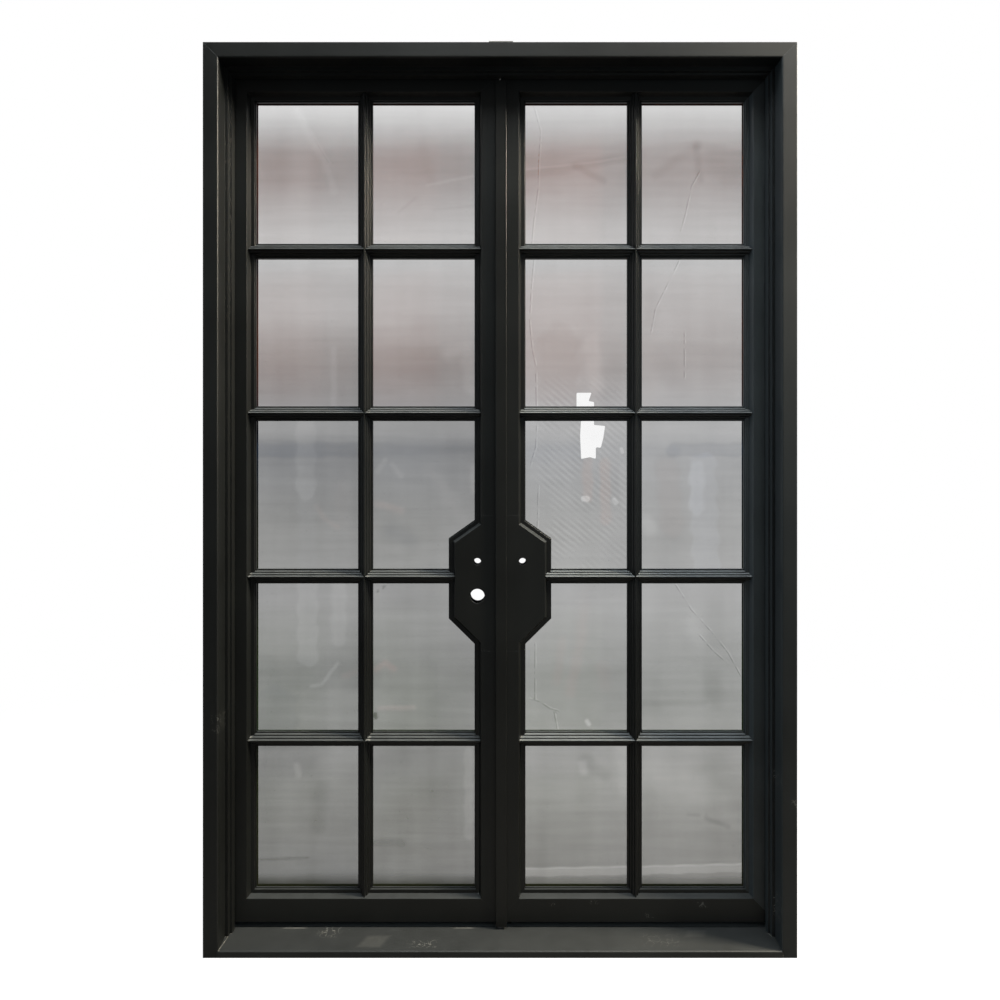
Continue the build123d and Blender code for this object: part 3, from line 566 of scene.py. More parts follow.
# Strokes in the film: partly smears, and partly painted light and shade seen in the glass; the much lighter
# small ones are painted glints.
smears_and_light = {
    "left": [
        # route, half width, blur as a share of it, darker, warmer
        ([(-0.566, 2.296), (-0.527, 2.217), (-0.485, 2.147), (-0.465, 2.072)], 0.010, 0.8, -0.05, 0),
        ([(-0.613, 2.184), (-0.613, 2.083)], 0.036, 0.9, 0.03, 0.1),
        ([(-0.501, 2.156), (-0.499, 2.089)], 0.022, 0.9, 0.025, 0.1),
        ([(-0.213, 2.212), (-0.196, 2.100)], 0.014, 0.9, 0.03, 0),
        ([(-0.204, 2.089), (-0.140, 2.103), (-0.067, 2.117)], 0.004, 0.6, -0.06, 0),
        ([(-0.286, 2.010), (-0.235, 2.055)], 0.004, 0.6, 0.04, 0),
        ([(-0.185, 2.021), (-0.067, 2.032)], 0.004, 0.6, 0.04, 0),
        ([(-0.465, 1.629), (-0.465, 1.475)], 0.008, 0.6, -0.05, 0),
        ([(-0.143, 1.621), (-0.095, 1.629), (-0.078, 1.523)], 0.020, 0.8, -0.07, 0.7),
        ([(-0.196, 1.685), (-0.190, 1.478)], 0.034, 0.9, 0.03, 0.4),
        ([(-0.543, 1.439), (-0.543, 1.237)], 0.027, 0.2, -0.06, 0),
        ([(-0.541, 1.237), (-0.538, 1.007)], 0.026, 0.4, -0.03, -0.4),
        ([(-0.440, 1.243), (-0.440, 1.147)], 0.024, 0.6, -0.02, 0.5),
        ([(-0.515, 1.192), (-0.490, 1.156), (-0.454, 1.131)], 0.007, 0.7, -0.02, 1),
        ([(-0.345, 1.198), (-0.275, 1.181)], 0.011, 0.7, -0.03, 1),
        ([(-0.308, 1.122), (-0.252, 1.097)], 0.026, 0.9, 0.06, -0.6),
        ([(-0.342, 1.287), (-0.322, 1.321)], 0.007, 0.7, -0.05, 0.3),
        ([(-0.303, 1.310), (-0.277, 1.276)], 0.007, 0.7, -0.05, 0.3),
        ([(-0.196, 1.293), (-0.154, 1.237), (-0.101, 1.147)], 0.018, 0.9, -0.03, 0.3),
        ([(-0.073, 1.299), (-0.073, 1.237)], 0.010, 0.7, -0.06, 0.6),
        ([(-0.683, 1.349), (-0.387, 1.349)], 0.021, 0.3, 0.05, -0.9),
        ([(-0.359, 1.349), (-0.200, 1.349), (-0.062, 1.352)], 0.018, 0.5, 0.03, -0.5),
        ([(-0.538, 0.979), (-0.538, 0.769)], 0.028, 0.2, -0.07, -0.2),
        ([(-0.451, 0.979), (-0.451, 0.822)], 0.021, 0.4, -0.07, 0),
        ([(-0.683, 0.719), (-0.387, 0.727)], 0.046, 0.6, 0.06, -0.4),
        ([(-0.359, 0.705), (-0.062, 0.694)], 0.050, 0.8, 0.05, 0),
        ([(-0.627, 0.629), (-0.627, 0.565)], 0.058, 0.2, 0.04, -0.5),
        ([(-0.527, 0.688), (-0.499, 0.694), (-0.454, 0.752)], 0.005, 0.6, -0.09, 0),
        ([(-0.434, 0.716), (-0.392, 0.733)], 0.011, 0.6, -0.02, 1.5),
        ([(-0.347, 0.733), (-0.322, 0.755), (-0.297, 0.736)], 0.009, 0.6, -0.02, 1.5),
        ([(-0.339, 0.626), (-0.241, 0.629)], 0.007, 0.6, -0.04, 1.2),
        ([(-0.343, 0.955), (-0.341, 0.955)], 0.003, 0.5, 0.25, 0),
        ([(-0.326, 0.965), (-0.324, 0.966)], 0.003, 0.5, 0.25, 0),
        ([(-0.349, 0.609), (-0.347, 0.602)], 0.006, 0.5, 0.30, 0),
        ([(-0.476, 0.475), (-0.398, 0.509)], 0.040, 0.9, -0.06, 0),
        ([(-0.569, 0.464), (-0.563, 0.441)], 0.009, 0.7, -0.08, 0.6),
        ([(-0.501, 0.402), (-0.507, 0.296)], 0.018, 0.8, 0.05, 0),
        ([(-0.672, 0.203), (-0.538, 0.209)], 0.004, 0.6, 0.09, 0),
        ([(-0.252, 0.352), (-0.179, 0.380)], 0.060, 0.9, 0.04, 0.3),
        ([(-0.353, 0.251), (-0.275, 0.251)], 0.010, 0.8, 0.06, -0.4),
        ([(-0.087, 0.503), (-0.087, 0.273)], 0.013, 0.5, -0.07, 0.2),
    ],
    "right": [
        ([(0.067, 2.119), (0.210, 2.142), (0.359, 2.173)], 0.013, 0.8, 0.07, 0.3),
        ([(0.078, 2.167), (0.224, 2.184), (0.359, 2.198)], 0.014, 0.9, 0.04, 0.3),
        ([(0.067, 2.133), (0.280, 2.156), (0.359, 2.170)], 0.003, 0.6, -0.06, 0.2),
        ([(0.210, 2.142), (0.289, 2.103)], 0.009, 0.8, 0.07, 0.3),
        ([(0.552, 2.201), (0.392, 2.184)], 0.012, 0.8, 0.05, 0.3),
        ([(0.552, 2.201), (0.434, 2.117)], 0.012, 0.9, 0.05, 0.3),
        ([(0.552, 2.201), (0.683, 2.178)], 0.012, 0.8, 0.05, 0.3),
        ([(0.594, 2.161), (0.639, 2.117)], 0.032, 0.9, 0.05, 0.4),
        ([(0.549, 2.195), (0.560, 2.105)], 0.009, 0.8, 0.07, 0.2),
        ([(0.162, 1.643), (0.162, 1.461)], 0.058, 0.2, 0.05, 0.5),
        ([(0.255, 1.652), (0.269, 1.528)], 0.022, 0.6, -0.06, 0.7),
        ([(0.319, 1.568), (0.297, 1.478)], 0.030, 0.9, 0.06, 0),
        ([(0.426, 1.780), (0.420, 1.713)], 0.018, 0.9, 0.05, 0),
        ([(0.459, 1.601), (0.493, 1.523)], 0.032, 0.9, 0.05, 0),
        ([(0.423, 1.640), (0.420, 1.478)], 0.030, 0.9, -0.02, 0.8),
        ([(0.067, 1.338), (0.224, 1.349)], 0.030, 0.8, 0.06, -0.7),
        ([(0.244, 1.315), (0.246, 1.217)], 0.015, 0.3, 0, 1.3),
        ([(0.294, 1.315), (0.297, 1.153)], 0.015, 0.4, 0.01, 1.7),
        ([(0.235, 1.212), (0.244, 1.212)], 0.008, 0.3, -0.30, 0),
        ([(0.319, 1.209), (0.325, 1.201)], 0.006, 0.4, -0.22, 0),
        ([(0.339, 1.352), (0.342, 1.343)], 0.005, 0.4, -0.20, 0),
        ([(0.342, 1.299), (0.347, 1.195)], 0.010, 0.6, -0.05, 0),
        ([(0.485, 1.349), (0.689, 1.349)], 0.019, 0.3, 0.08, -1),
        ([(0.392, 1.343), (0.485, 1.343)], 0.016, 0.6, 0.04, -0.6),
        ([(0.468, 1.310), (0.482, 1.136)], 0.034, 0.4, 0.03, 0.9),
        ([(0.566, 1.304), (0.577, 1.013)], 0.038, 0.15, -0.05, -1),
        ([(0.552, 1.299), (0.549, 1.187)], 0.020, 0.4, -0.06, -0.5),
        ([(0.409, 1.147), (0.420, 1.131)], 0.018, 0.8, -0.09, 0),
        ([(0.241, 0.968), (0.227, 0.817), (0.196, 0.671)], 0.016, 0.6, 0, 1),
        ([(0.174, 0.817), (0.160, 0.699)], 0.013, 0.6, 0, 0.9),
        ([(0.289, 0.744), (0.294, 0.694)], 0.020, 0.7, 0, 0.9),
        ([(0.062, 0.666), (0.364, 0.666)], 0.086, 0.3, 0.04, 0),
        ([(0.244, 0.590), (0.249, 0.582)], 0.006, 0.6, -0.25, 0),
        ([(0.594, 0.705), (0.599, 0.654)], 0.025, 0.8, 0.08, 0),
        ([(0.599, 0.906), (0.605, 0.834)], 0.025, 0.9, 0.04, 0),
        ([(0.532, 0.867), (0.560, 0.811)], 0.020, 0.9, -0.05, 0),
        ([(0.392, 0.640), (0.566, 0.640)], 0.010, 0.8, 0.05, 0),
        ([(0.238, 0.483), (0.297, 0.436)], 0.015, 0.8, 0.06, -0.3),
        ([(0.230, 0.469), (0.235, 0.450)], 0.012, 0.7, -0.09, 0),
        ([(0.342, 0.509), (0.353, 0.391)], 0.020, 0.8, -0.06, 0),
        ([(0.527, 0.329), (0.556, 0.327)], 0.005, 0.9, 0.05, 0),
        ([(0.577, 0.320), (0.612, 0.305), (0.639, 0.295)], 0.006, 0.9, 0.07, 0),
        ([(0.605, 0.469), (0.667, 0.380)], 0.040, 0.9, 0.05, 0),
        ([(0.437, 0.469), (0.538, 0.391)], 0.040, 0.9, -0.05, -0.2),
        ([(0.062, 0.167), (0.364, 0.173)], 0.012, 0.15, -0.10, 0.12),
        ([(0.062, 0.178), (0.364, 0.184)], 0.003, 0.5, -0.09, 0),
        ([(0.392, 0.173), (0.689, 0.181)], 0.012, 0.15, -0.12, 0.12),
        ([(0.392, 0.184), (0.689, 0.192)], 0.003, 0.5, -0.09, 0),
    ],
}
film_lift = 0.0003
film_lift_limits = (-0.5, 1)
sway_waves = (90, 70)
sway_bends = (41, 33)
smear_and_light_sway = 0.12
smear_and_light_warmth = 0.34
smear_and_light_depth = 0.55
fold_half_width = 0.0032
fold_reach = 0.03
fold_dip = 0.8
fold_dip_offset = 1.7
# Along each crease the film is darker, a painted shade, with a painted glint beside it.
crease_shade_half_width = 0.0016
crease_shade_rim = (0.4, 1.2)
crease_shade_depth = 0.10
glint_offset = 0.0042
glint_half_width = 0.0018
glint_rim = (0.3, 1.2)
glint_depth = 0.06
break_scale = 55
break_cut = (0.36, 0.58)
fold_strength = {"left": 0.25, "right": 1.0}
folds = {
    "left": [[(-0.557, 2.279), (-0.510, 2.203), (-0.459, 2.117)]],
    "right": [
        [(0.094, 2.310), (0.113, 2.240), (0.108, 2.160), (0.106, 2.080), (0.094, 1.990), (0.088, 1.923)],
        [(0.094, 1.880), (0.087, 1.803), (0.082, 1.708), (0.089, 1.635), (0.099, 1.584), (0.101, 1.474)],
        [(0.102, 1.425), (0.099, 1.357), (0.082, 1.300)],
        [(0.106, 1.247), (0.104, 1.150), (0.101, 1.100)],
        [(0.097, 0.806), (0.097, 0.652)],
        [(0.078, 0.652), (0.109, 0.646), (0.140, 0.625), (0.161, 0.619)],
        [(0.151, 0.615), (0.159, 0.568)],
        [(0.559, 2.131), (0.535, 2.087), (0.518, 2.010), (0.499, 1.940), (0.502, 1.923)],
        [(0.499, 1.876), (0.475, 1.827), (0.434, 1.745), (0.422, 1.682)],
        [(0.515, 1.680), (0.515, 1.553)],
        [(0.491, 0.970), (0.535, 0.901), (0.596, 0.834), (0.638, 0.780), (0.673, 0.716)],
        [(0.559, 0.828), (0.596, 0.786), (0.632, 0.755)],
    ],
}
blisters = [
    (0.583, 2.063), (0.560, 2.002), (0.540, 1.968), (0.506, 1.851), (0.532, 1.840), (0.492, 1.826),
    (0.501, 1.772), (0.545, 1.742), (0.499, 1.752), (0.481, 1.716), (0.510, 1.731), (0.562, 1.751),
]
blister_radius = 0.006
blister_height = 0.7
ripple_pitch = 0.0145
ripple_lean = 0.70
ripple_sway = 0.012
ripple_sway_scale = 9
ripple_depth = 0.03
ripple_height = 0.5
ripple_left = (0.08, 0.14)
ripple_right = (0.32, 0.40)
ripple_low = (0.95, 1.10)
ripple_high = (1.46, 1.58)
ripple_patch_scale = 14
ripple_patches = (0.3, 0.6)
tear = [
    (0.214, 1.509), (0.256, 1.509), (0.248, 1.486), (0.263, 1.483), (0.263, 1.419), (0.294, 1.416),
    (0.289, 1.383), (0.282, 1.355), (0.268, 1.357), (0.268, 1.324), (0.252, 1.329), (0.227, 1.324),
    (0.224, 1.388), (0.227, 1.436), (0.214, 1.467),
]
tear_edge = 0.0004
torn_haze = 0.04
streak_stretch = (14, 1, 1.2)
streak_depth = 0.07
cloud_stretch = (5, 5, 8)
cloud_depth = 0.08
drawn_stretch = (2.5, 1, 46)
drawn_depth = 0.07
grit_scale = 240
grit_cut = (0.68, 0.76)
grit_depth = 0.06
film_wave_scale = 70
film_wave_height = 0.3
film_grain_scale = 900
film_grain_height = 0.2
film_relief = 0.0006
film_relief_strength = 0.35
film_roughness = 0.34
glass_green = (0.62, 0.68, 0.66, 1)
glass_roughness = 0.03
glass_haze = 0.05
smudge_scale = 9
smudge_cut = (0.4, 0.8)
sealant_black = (0.012, 0.012, 0.013, 1)
sealant_stretch = (600, 600, 600)
spacer_grey = (0.05, 0.05, 0.052, 1)


def film(side):
    """Hazy film on glass whose hiding and tint carry painted light, with marks, painted glints and crease
    shade from the mesh's values.
    """
    material, place = new_material(f"film_{side}")
    height = place.part("Z") / film_top
    hiding = [(z / film_top, (share, share, share, 1)) for z, share in film_haze_and_light[side]]
    tints = [(z / film_top, colour) for z, colour in film_tints_of_light]
    haze_and_light = height.node("ShaderNodeValToRGB", {"stops": hiding}, {"Fac": height}, "Color")
    haze_and_light = haze_and_light.node("ShaderNodeRGBToBW", {}, {"Color": haze_and_light})
    tint = height.node("ShaderNodeValToRGB", {"stops": tints}, {"Fac": height}, "Color")
    fold, torn, veil, warm = [
        place.node("ShaderNodeAttribute", {"attribute_name": name}, {}, "Fac")
        for name in ("fold", "tear", "veil", "warm")
    ]
    streak = place.stretched(streak_stretch).noise(1, 5) - 0.5
    cloud = place.stretched(cloud_stretch).noise(1, 6) - 0.5
    drawn = place.stretched(drawn_stretch).noise(1, 4) - 0.5
    grit = place.noise(grit_scale, 2).fade(*grit_cut)
    broken = place.noise(break_scale, 3).fade(*break_cut)
    # A painted shade along each crease, and a painted glint beside it.
    crease_shade = (1 - (abs(fold) / crease_shade_half_width).fade(*crease_shade_rim)) * broken
    glint = (1 - (abs(fold - glint_offset) / glint_half_width).fade(*glint_rim)) * broken
    hidden = haze_and_light + veil + fold_strength[side] * (crease_shade_depth * crease_shade - glint_depth * glint)
    hidden = hidden + streak_depth * streak + cloud_depth * cloud + drawn_depth * drawn + grit_depth * grit
    grain = place.noise(film_grain_scale, 2)
    waves = film_wave_height * place.stretched((1, 1, 1), ripple_lean).noise(film_wave_scale, 3)
    if side == "right":
        across, up = place.part("X"), place.part("Z")
        phase = across * math.sin(ripple_lean) + up * math.cos(ripple_lean)
        phase = phase + ripple_sway * place.noise(ripple_sway_scale, 2)
        pulled = across.fade(*ripple_left) * (1 - across.fade(*ripple_right))
        pulled = pulled * up.fade(*ripple_low) * (1 - up.fade(*ripple_high))
        patchy = place.noise(ripple_patch_scale, 2).fade(*ripple_patches)
        ripple = (phase * (2 * math.pi / ripple_pitch)).sine() * pulled * patchy
        hidden = hidden + ripple_depth * ripple
        waves = waves + ripple_height * ripple
    kept = 1 - torn.fade(-tear_edge, tear_edge)
    bumps = film_grain_height * grain + waves
    relief = {"Strength": film_relief_strength, "Distance": film_relief, "Height": bumps}
    cover(place, {
        "Base Color": (0 - warm).fade(0, 1).colour(warm.fade(0, 1).colour(tint, film_warm), film_cool),
        "Roughness": film_roughness + 0.12 * cloud,
        "Alpha": torn_haze + (1 - torn_haze) * kept * hidden,
        "Normal": place.node("ShaderNodeBump", {}, relief, "Normal"),
    })
    return material


def glass_back():
    """The inner sheet, clear but for faint smudges."""
    material, place = new_material("clear_glass")
    smudge = place.noise(smudge_scale, 5).fade(*smudge_cut)
    cover(place, {
        "Base Color": glass_green,
        "Roughness": glass_roughness + 0.10 * smudge,
        "Alpha": glass_haze + 0.04 * smudge,
    })
    return material


def edge_seal():
    """Black sealant and a dull spacer bar round the edge of a unit."""
    material, place = new_material("edge_seal")
    drawn = place.stretched(sealant_stretch).noise(1, 3)
    shown = drawn.fade(0.3, 0.8).colour(sealant_black, spacer_grey)
    cover(place, {"Base Color": shown, "Roughness": 0.5 + 0.2 * drawn})
    return material


def outline_of(node):
    """Corners of a pane's outer face, in order, as (across, up), read from its solid."""
    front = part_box(node)[0].y
    solid = bmesh.new()
    solid.from_mesh(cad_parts[node].data)
    bmesh.ops.remove_doubles(solid, verts=solid.verts, dist=touching)
    outer = {face for face in solid.faces if face.normal.y < -faces_front}
    rim = [edge for edge in solid.edges if len(outer.intersection(edge.link_faces)) == 1]
    rim = [edge for edge in rim if all(abs(corner.co.y - front) < touching for corner in edge.verts)]
    start = rim[0].verts[0]
    corner, walked = start, []
    while rim:
        step = next(edge for edge in rim if corner in edge.verts)
        rim.remove(step)
        walked.append((corner.co.x, corner.co.z))
        corner = step.other_vert(corner)
    solid.free()
    turning = sum(a[0] * b[1] - b[0] * a[1] for a, b in zip(walked, walked[1:] + walked[:1]))
    return walked if turning > 0 else walked[::-1]


def inside(places, corners):
    """Which of the places, an array of (across, up), lie in the outline."""
    crossings = np.zeros(len(places), int)
    for (ax, az), (bx, bz) in zip(corners, corners[1:] + corners[:1]):
        if az != bz:
            level = (az > places[:, 1]) != (bz > places[:, 1])
            crossings += level & (places[:, 0] < ax + (places[:, 1] - az) * (bx - ax) / (bz - az))
    return crossings % 2 == 1


def inset(corners, amount):
    """The outline moved in by amount. Its corners run against the clock, with the space on their left."""
    moved = []
    for before, here, after in zip(corners[-1:] + corners[:-1], corners, corners[1:] + corners[:1]):
        first = (Vector(here) - Vector(before)).normalized()
        second = (Vector(after) - Vector(here)).normalized()
        normals = Vector((-first.y, first.x)), Vector((-second.y, second.x))
        share = 1 + normals[0].dot(normals[1])
        moved.append(Vector(here) + (normals[0] + normals[1]) * amount / share)
    return [(corner.x, corner.y) for corner in moved]


def from_route(places, route):
    """Distance of each place from a line of points, less than 0 on its right."""
    best = np.full(len(places), np.inf)
    for start, end in zip(route, route[1:]):
        along = np.subtract(end, start)
        reach = places - start
        share = np.clip(reach @ along / (along @ along), 0, 1)
        off = np.hypot(*(reach - share[:, None] * along).T)
        turn = along[0] * reach[:, 1] - along[1] * reach[:, 0]
        best = np.where(off < np.abs(best), np.copysign(off, turn), best)
    return best


def film_values(places, side):
    """The film's rise, distance from its nearest fold, torn depth, and the darkening and warmth of its smears
    and painted light at each place.
    """
    rise = np.zeros(len(places))
    nearest = np.full(len(places), fold_reach)
    for route in folds[side]:
        off = from_route(places, route)
        nearest = np.where(np.abs(off) < np.abs(nearest), off, nearest)
        share = off / fold_half_width
        dip = fold_dip * np.exp(-((share - fold_dip_offset) ** 2))
        rise += fold_strength[side] * (np.exp(-share**2) - dip)
    torn = np.full(len(places), -1.0)
    if side == "right":
        for middle in blisters:
            rise += blister_height * np.exp(-np.sum((places - middle) ** 2, axis=1) / blister_radius**2)
        depth = np.abs(from_route(places, tear + tear[:1]))
        torn = np.where(inside(places, tear), depth, -depth)
    veil = np.zeros(len(places))
    warm = np.zeros(len(places))
    waves = np.sin(places[:, ::-1] * sway_waves + 2 * np.sin(places * sway_bends))
    # Strokes of smears and painted light, laid into the film's hiding and warmth.
    for route, half_width, blur, darker, warmer in smears_and_light[side]:
        off = np.abs(from_route(places + smear_and_light_sway * half_width * waves, route))
        share = np.clip((1 + blur - off / half_width) / (2 * blur), 0, 1)
        laid = share * share * (3 - 2 * share)
        veil += smear_and_light_depth * darker * laid
        warm += smear_and_light_warmth * warmer * laid
    return {"rise": rise, "fold": nearest, "tear": torn, "veil": veil, "warm": warm}


def film_sheet(built, corners, low, high, cell):
    """A fine grid on a unit's outer face, cut to its outline."""
    cells = [max(2, round((high[axis] - low[axis]) / cell)) for axis in (0, 2)]
    columns = np.linspace(low.x, high.x, cells[0] + 1)
    levels = np.linspace(low.z, high.z, cells[1] + 1)
    points = [[built.verts.new((x, low.y, z)) for x in columns] for z in levels]
    for lower, upper in zip(points, points[1:]):
        for a, b, c, d in zip(lower, lower[1:], upper[1:], upper):
            built.faces.new((a, b, c, d))
    for (ax, az), (bx, bz) in zip(corners, corners[1:] + corners[:1]):
        on_side = min(abs(ax - low.x), abs(ax - high.x)) < rim_close and abs(ax - bx) < touching
        on_end = min(abs(az - low.z), abs(az - high.z)) < rim_close and abs(az - bz) < touching
        if not on_side and not on_end:
            whole = built.verts[:] + built.edges[:] + built.faces[:]
            cut = {"plane_co": (ax, low.y, az), "plane_no": Vector((bz - az, 0, ax - bx))}
            bmesh.ops.bisect_plane(built, geom=whole, dist=cut_merge, **cut)
    middles = np.array([face.calc_center_median().xz for face in built.faces])
    held = inside(middles, corners)
    outside = [face for face, kept in zip(built.faces, held) if not kept]
    bmesh.ops.delete(built, geom=outside, context="FACES")


def sealed_body(built, corners, low, high):
    """The edges and the inner face behind the film's sheet, and the spacer bar between the two sheets."""
    pushed = bmesh.ops.extrude_face_region(built, geom=built.faces[:])["geom"]
    for corner in pushed:
        if isinstance(corner, bmesh.types.BMVert):
            corner.co.y = high.y
    inner = [face for face in pushed if isinstance(face, bmesh.types.BMFace)]
    bmesh.ops.dissolve_faces(built, faces=inner)
    rings = [inset(corners, spacer_setback), inset(corners, spacer_width)]
    depths = (low.y + sheet_thickness, high.y - sheet_thickness)
    posts = [[[built.verts.new((x, y, z)) for x, z in ring] for y in depths] for ring in rings]
    loops = [posts[0][0], posts[0][1], posts[1][1], posts[1][0]]
    for first, second in zip(loops, loops[1:] + loops[:1]):
        for a, b, c, d in zip(first, first[1:] + first[:1], second[1:] + second[:1], second):
            built.faces.new((a, b, c, d))
    bmesh.ops.recalc_face_normals(built, faces=built.faces)


def lay_film(mesh, front, side):
    """Keeps the film's values on its points, and lifts them where it is creased or blistered."""
    spots = np.empty(3 * len(mesh.vertices), np.float32)
    mesh.vertices.foreach_get("co", spots)
    spots = spots.reshape(-1, 3)
    on_film = spots[:, 1] < front + touching
    values = film_values(spots[on_film][:, [0, 2]].astype(float), side)
    for value in ("fold", "tear", "veil", "warm"):
        whole = np.full(len(spots), -1.0 if value == "tear" else 0.0, np.float32)
        whole[on_film] = values[value]
        mesh.attributes.new(value, "FLOAT", "POINT").data.foreach_set("value", whole)
    spots[on_film, 1] -= film_lift * np.clip(values["rise"], *film_lift_limits)
    mesh.vertices.foreach_set("co", spots.ravel())
    mesh.update()


def glass_unit(name, node, side):
    """One sealed unit: a film-covered outer face, a clear inner face, sealed edges and a spacer bar."""
    low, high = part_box(node)
    corners = outline_of(node)
    built = bmesh.new()
    film_sheet(built, corners, low, high, film_cell[side])
    sealed_body(built, corners, low, high)
    for face in built.faces:
        middle = face.calc_center_median().y
        if middle < low.y + touching:
            face.material_index = 0
        elif middle > high.y - touching:
            face.material_index = 1
        else:
            face.material_index = 2
        face.smooth = face.material_index == 0
    mesh = bpy.data.meshes.new(name)
    built.to_mesh(mesh)
    built.free()
    lay_film(mesh, low.y, side)
    unit = bpy.data.objects.new(name, mesh)
    bpy.context.scene.collection.objects.link(unit)
    return unit


clear_glass = glass_back()
sealant = edge_seal()
for side in ("left", "right"):
    hazy = film(side)
    for row in range(1, pane_rows + 1):
        for column in ("meeting", "hinge"):
            unit = glass_unit(f"glass_{side}_{row}_{column}", f"pane_{side}_{row}_{column}", side)
            for material in (hazy, clear_glass, sealant):
                unit.data.materials.append(material)
            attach(unit, f"leaf_{side}")
            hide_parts(f"pane_{side}_{row}_{column}")

# Glazing beads: rings of steel bar with a splayed inner face, pressed in behind each glass unit from
# inside the house. Coated before they go in, so their corners are clean.
bead_black = (0.0056, 0.0064, 0.0060, 1)
bead_coat = paint("bead_coat", bead_black, roughness=0.45, dust=0.35, wear=0.3)
dress(bead_coat, "glazing_beads_left", "glazing_beads_right")

# Cover strip: a flat steel bar with eased edges, welded to the right leaf over the meeting gap.
# Hands brush along it, so its coat is a little more polished.
strip_black = (0.0056, 0.0062, 0.0058, 1)
dress(paint("strip_coat", strip_black, roughness=0.36, dust=0.25, wear=0.5), "astragal")

# Hinges: turned barrels welded to the inside faces and coated over, on bare steel pins, with a thin
# brass ring between the two barrels of each.
hinge_black = (0.0052, 0.0060, 0.0057, 1)
pin_grey = (0.50, 0.50, 0.50, 1)
brass_yellow = (0.62, 0.43, 0.16, 1)
turning_stretch = (2, 2, 2600)
turning_relief = 0.0002
dull_scale = 30
dull_cut = (0.4, 0.75)
dull_dark = 0.45
dull_share = 0.6
dull_sheen = 0.25


def turned_metal(name, colour, roughness):
    """Bare metal with fine turning rings round its upright axis, and dull patches."""
    material, place = new_material(name)
    rings = place.stretched(turning_stretch).noise(1, 2)
    dull = place.noise(dull_scale, 5).fade(*dull_cut)
    dark = tuple(dull_dark * part for part in colour[:3]) + (1,)
    relief = {"Strength": 0.2, "Distance": turning_relief, "Height": rings}
    cover(place, {
        "Base Color": (dull_share * dull).colour(colour, dark),
        "Roughness": roughness + dull_sheen * dull,
        "Metallic": 1.0,
        "Normal": place.node("ShaderNodeBump", {}, relief, "Normal"),
    })
    return material


hinge_coat = paint("hinge_coat", hinge_black, roughness=0.40, dust=0.35, wear=0.8)
for side in ("left", "right"):
    dress(hinge_coat, f"hinge_frame_knuckles_{side}", f"hinge_leaf_knuckles_{side}")
dress(turned_metal("pin_steel", pin_grey, roughness=0.28), "hinge_pins")
dress(turned_metal("bearing_brass", brass_yellow, roughness=0.30), "hinge_bearings")

# Flush bolts: an edge plate and a round rod of brushed steel in the right leaf's meeting edge.
# The rod slides in two guides and is moved by a finger tab.
bolt_grey = (0.46, 0.46, 0.45, 1)
bolt_metal = turned_metal("bolt_steel", bolt_grey, roughness=0.34)
for end in ("top", "bottom"):
    dress(bolt_metal, f"flush_bolt_case_{end}", f"flush_bolt_rod_{end}")

# Studio: a pale floor that runs out into a white surround, a warm soft light high on the right, two
# broad ones overhead and dim cool fills from the front and the left. It is brighter behind the doors.
floor_reach = 3.6
floor_shown = 1.0
floor_drop = 0.001
floor_glow = 0.96
floor_grey = (0.15, 0.15, 0.15, 1)
white = (1, 1, 1, 1)
surround_front = 0.09
surround_back = 0.90
surround_turn = (-0.1, 0.7)
scene = bpy.context.scene
scene.view_settings.view_transform = "Standard"
floor_mesh = bpy.data.meshes.new("floor")
floor_corners = [(-1, -1), (1, -1), (1, 1), (-1, 1)]
floor_places = [(x * floor_reach, y * floor_reach, -floor_drop) for x, y in floor_corners]
floor_mesh.from_pydata(floor_places, [], [(0, 1, 2, 3)])
floor = bpy.data.objects.new("floor", floor_mesh)
scene.collection.objects.link(floor)
floor_material, place = new_material("floor_pale")
seen = place.node("ShaderNodeLightPath", {}, {}, "Is Camera Ray")
away = place.node("ShaderNodeVectorMath", {"operation": "LENGTH"}, {0: place}, "Value")
far = away.fade(floor_shown, floor_reach)
brightness = seen * (floor_glow + (1 - floor_glow) * far)
glow = place.node("ShaderNodeEmission", {}, {"Color": white, "Strength": brightness})
matt = place.node("ShaderNodeBsdfDiffuse", {}, {"Color": floor_grey})
near_floor = place.node("ShaderNodeAddShader", {}, {0: glow, 1: matt})
far_floor = place.node("ShaderNodeEmission", {}, {"Color": white, "Strength": seen})
floor_look = place.node("ShaderNodeMixShader", {}, {0: far, 1: near_floor, 2: far_floor})
place.node("ShaderNodeOutputMaterial", {}, {"Surface": floor_look})
floor_mesh.materials.append(floor_material)

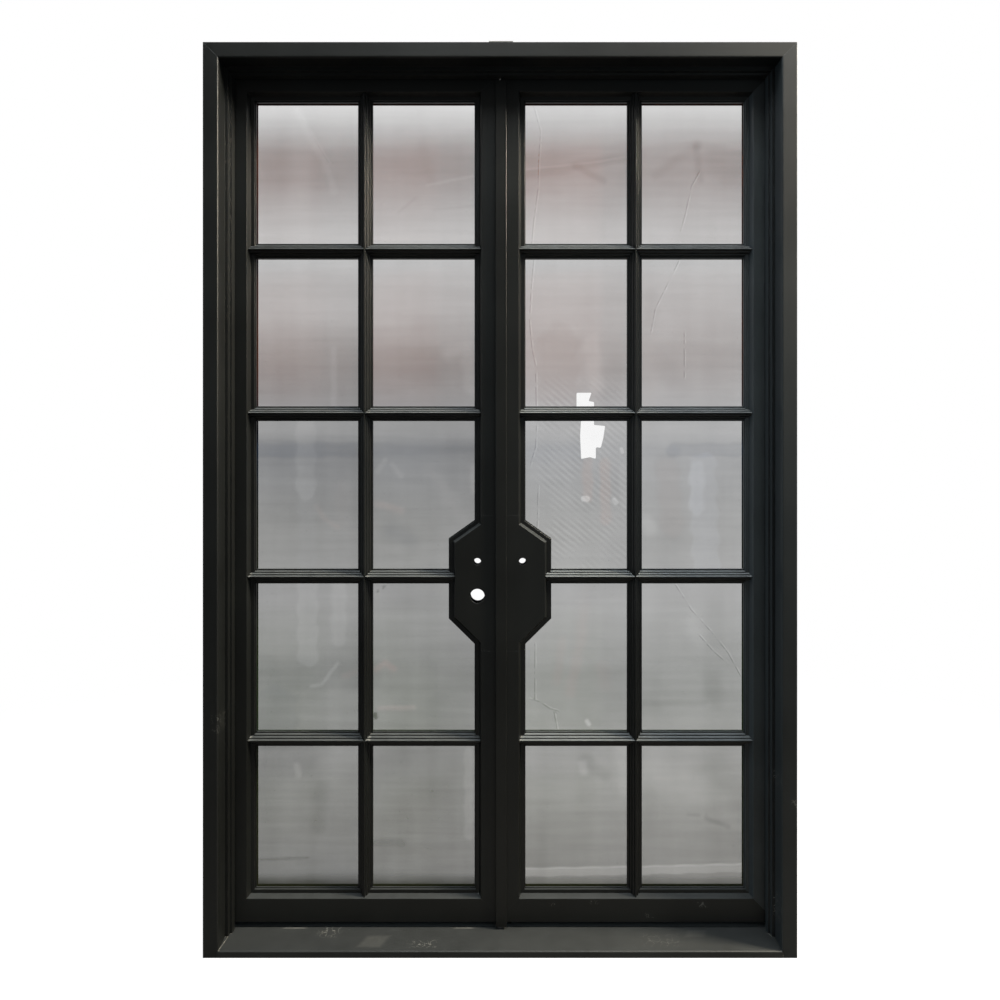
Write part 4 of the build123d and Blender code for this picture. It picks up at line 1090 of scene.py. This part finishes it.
world = bpy.data.worlds.new("surround")
scene.world = world
world.use_nodes = True
world.node_tree.nodes.clear()
look = Shade(world.node_tree).node("ShaderNodeTexCoord", {}, {}, "Generated")
seen = look.node("ShaderNodeLightPath", {}, {}, "Is Camera Ray")
behind = look.part("Y").fade(*surround_turn)
lit = seen + (1 - seen) * (surround_front + (surround_back - surround_front) * behind)
surround = look.node("ShaderNodeBackground", {}, {"Color": white, "Strength": lit})
look.node("ShaderNodeOutputWorld", {}, {"Surface": surround})


def softbox(name, place, aim, size, power, colour):
    """A rectangular studio light that faces its aim."""
    lamp = bpy.data.lights.new(name, "AREA")
    lamp.shape = "RECTANGLE"
    lamp.size, lamp.size_y = size
    lamp.energy = power
    lamp.color = colour
    holder = bpy.data.objects.new(name, lamp)
    holder.location = place
    holder.rotation_euler = (Vector(aim) - Vector(place)).to_track_quat("-Z", "Y").to_euler()
    scene.collection.objects.link(holder)


lights = [
    # name, place, aim, size, power in watts, colour
    ("warm_key", (2.8, -0.6, 3.3), (0, 0, 1.1), (0.5, 0.5), 240, (1.0, 0.88, 0.69)),
    ("overhead", (0.3, -0.9, 4.2), (0, 0, 0.9), (2.4, 1.2), 67, (0.94, 0.99, 1.0)),
    ("over_right", (1.4, -0.8, 3.5), (0.1, 0, 1.0), (1.0, 0.6), 17, (1.0, 0.97, 0.92)),
    ("front_right", (1.9, -2.8, 1.7), (0.4, 0, 1.2), (2.4, 2.2), 7, (0.74, 0.92, 1.0)),
    ("left_side", (-3.2, -0.9, 1.6), (0, 0, 1.2), (1.5, 2.0), 14, (0.74, 0.92, 1.0)),
]
for light in lights:
    softbox(*light)

# Camera: square to the doors, a little above their middle, as the photograph was taken.
camera_distance = 2.376
camera_height = 1.293
camera_lens = 31.25
camera_sensor = 36.0
camera_shift = -0.030
lens = bpy.data.cameras.new("camera")
lens.lens = camera_lens
lens.sensor_width = camera_sensor
lens.shift_y = camera_shift
camera = bpy.data.objects.new("camera", lens)
camera.location = (0, -camera_distance, camera_height)
camera.rotation_euler = (math.pi / 2, 0, 0)
scene.collection.objects.link(camera)
scene.camera = camera
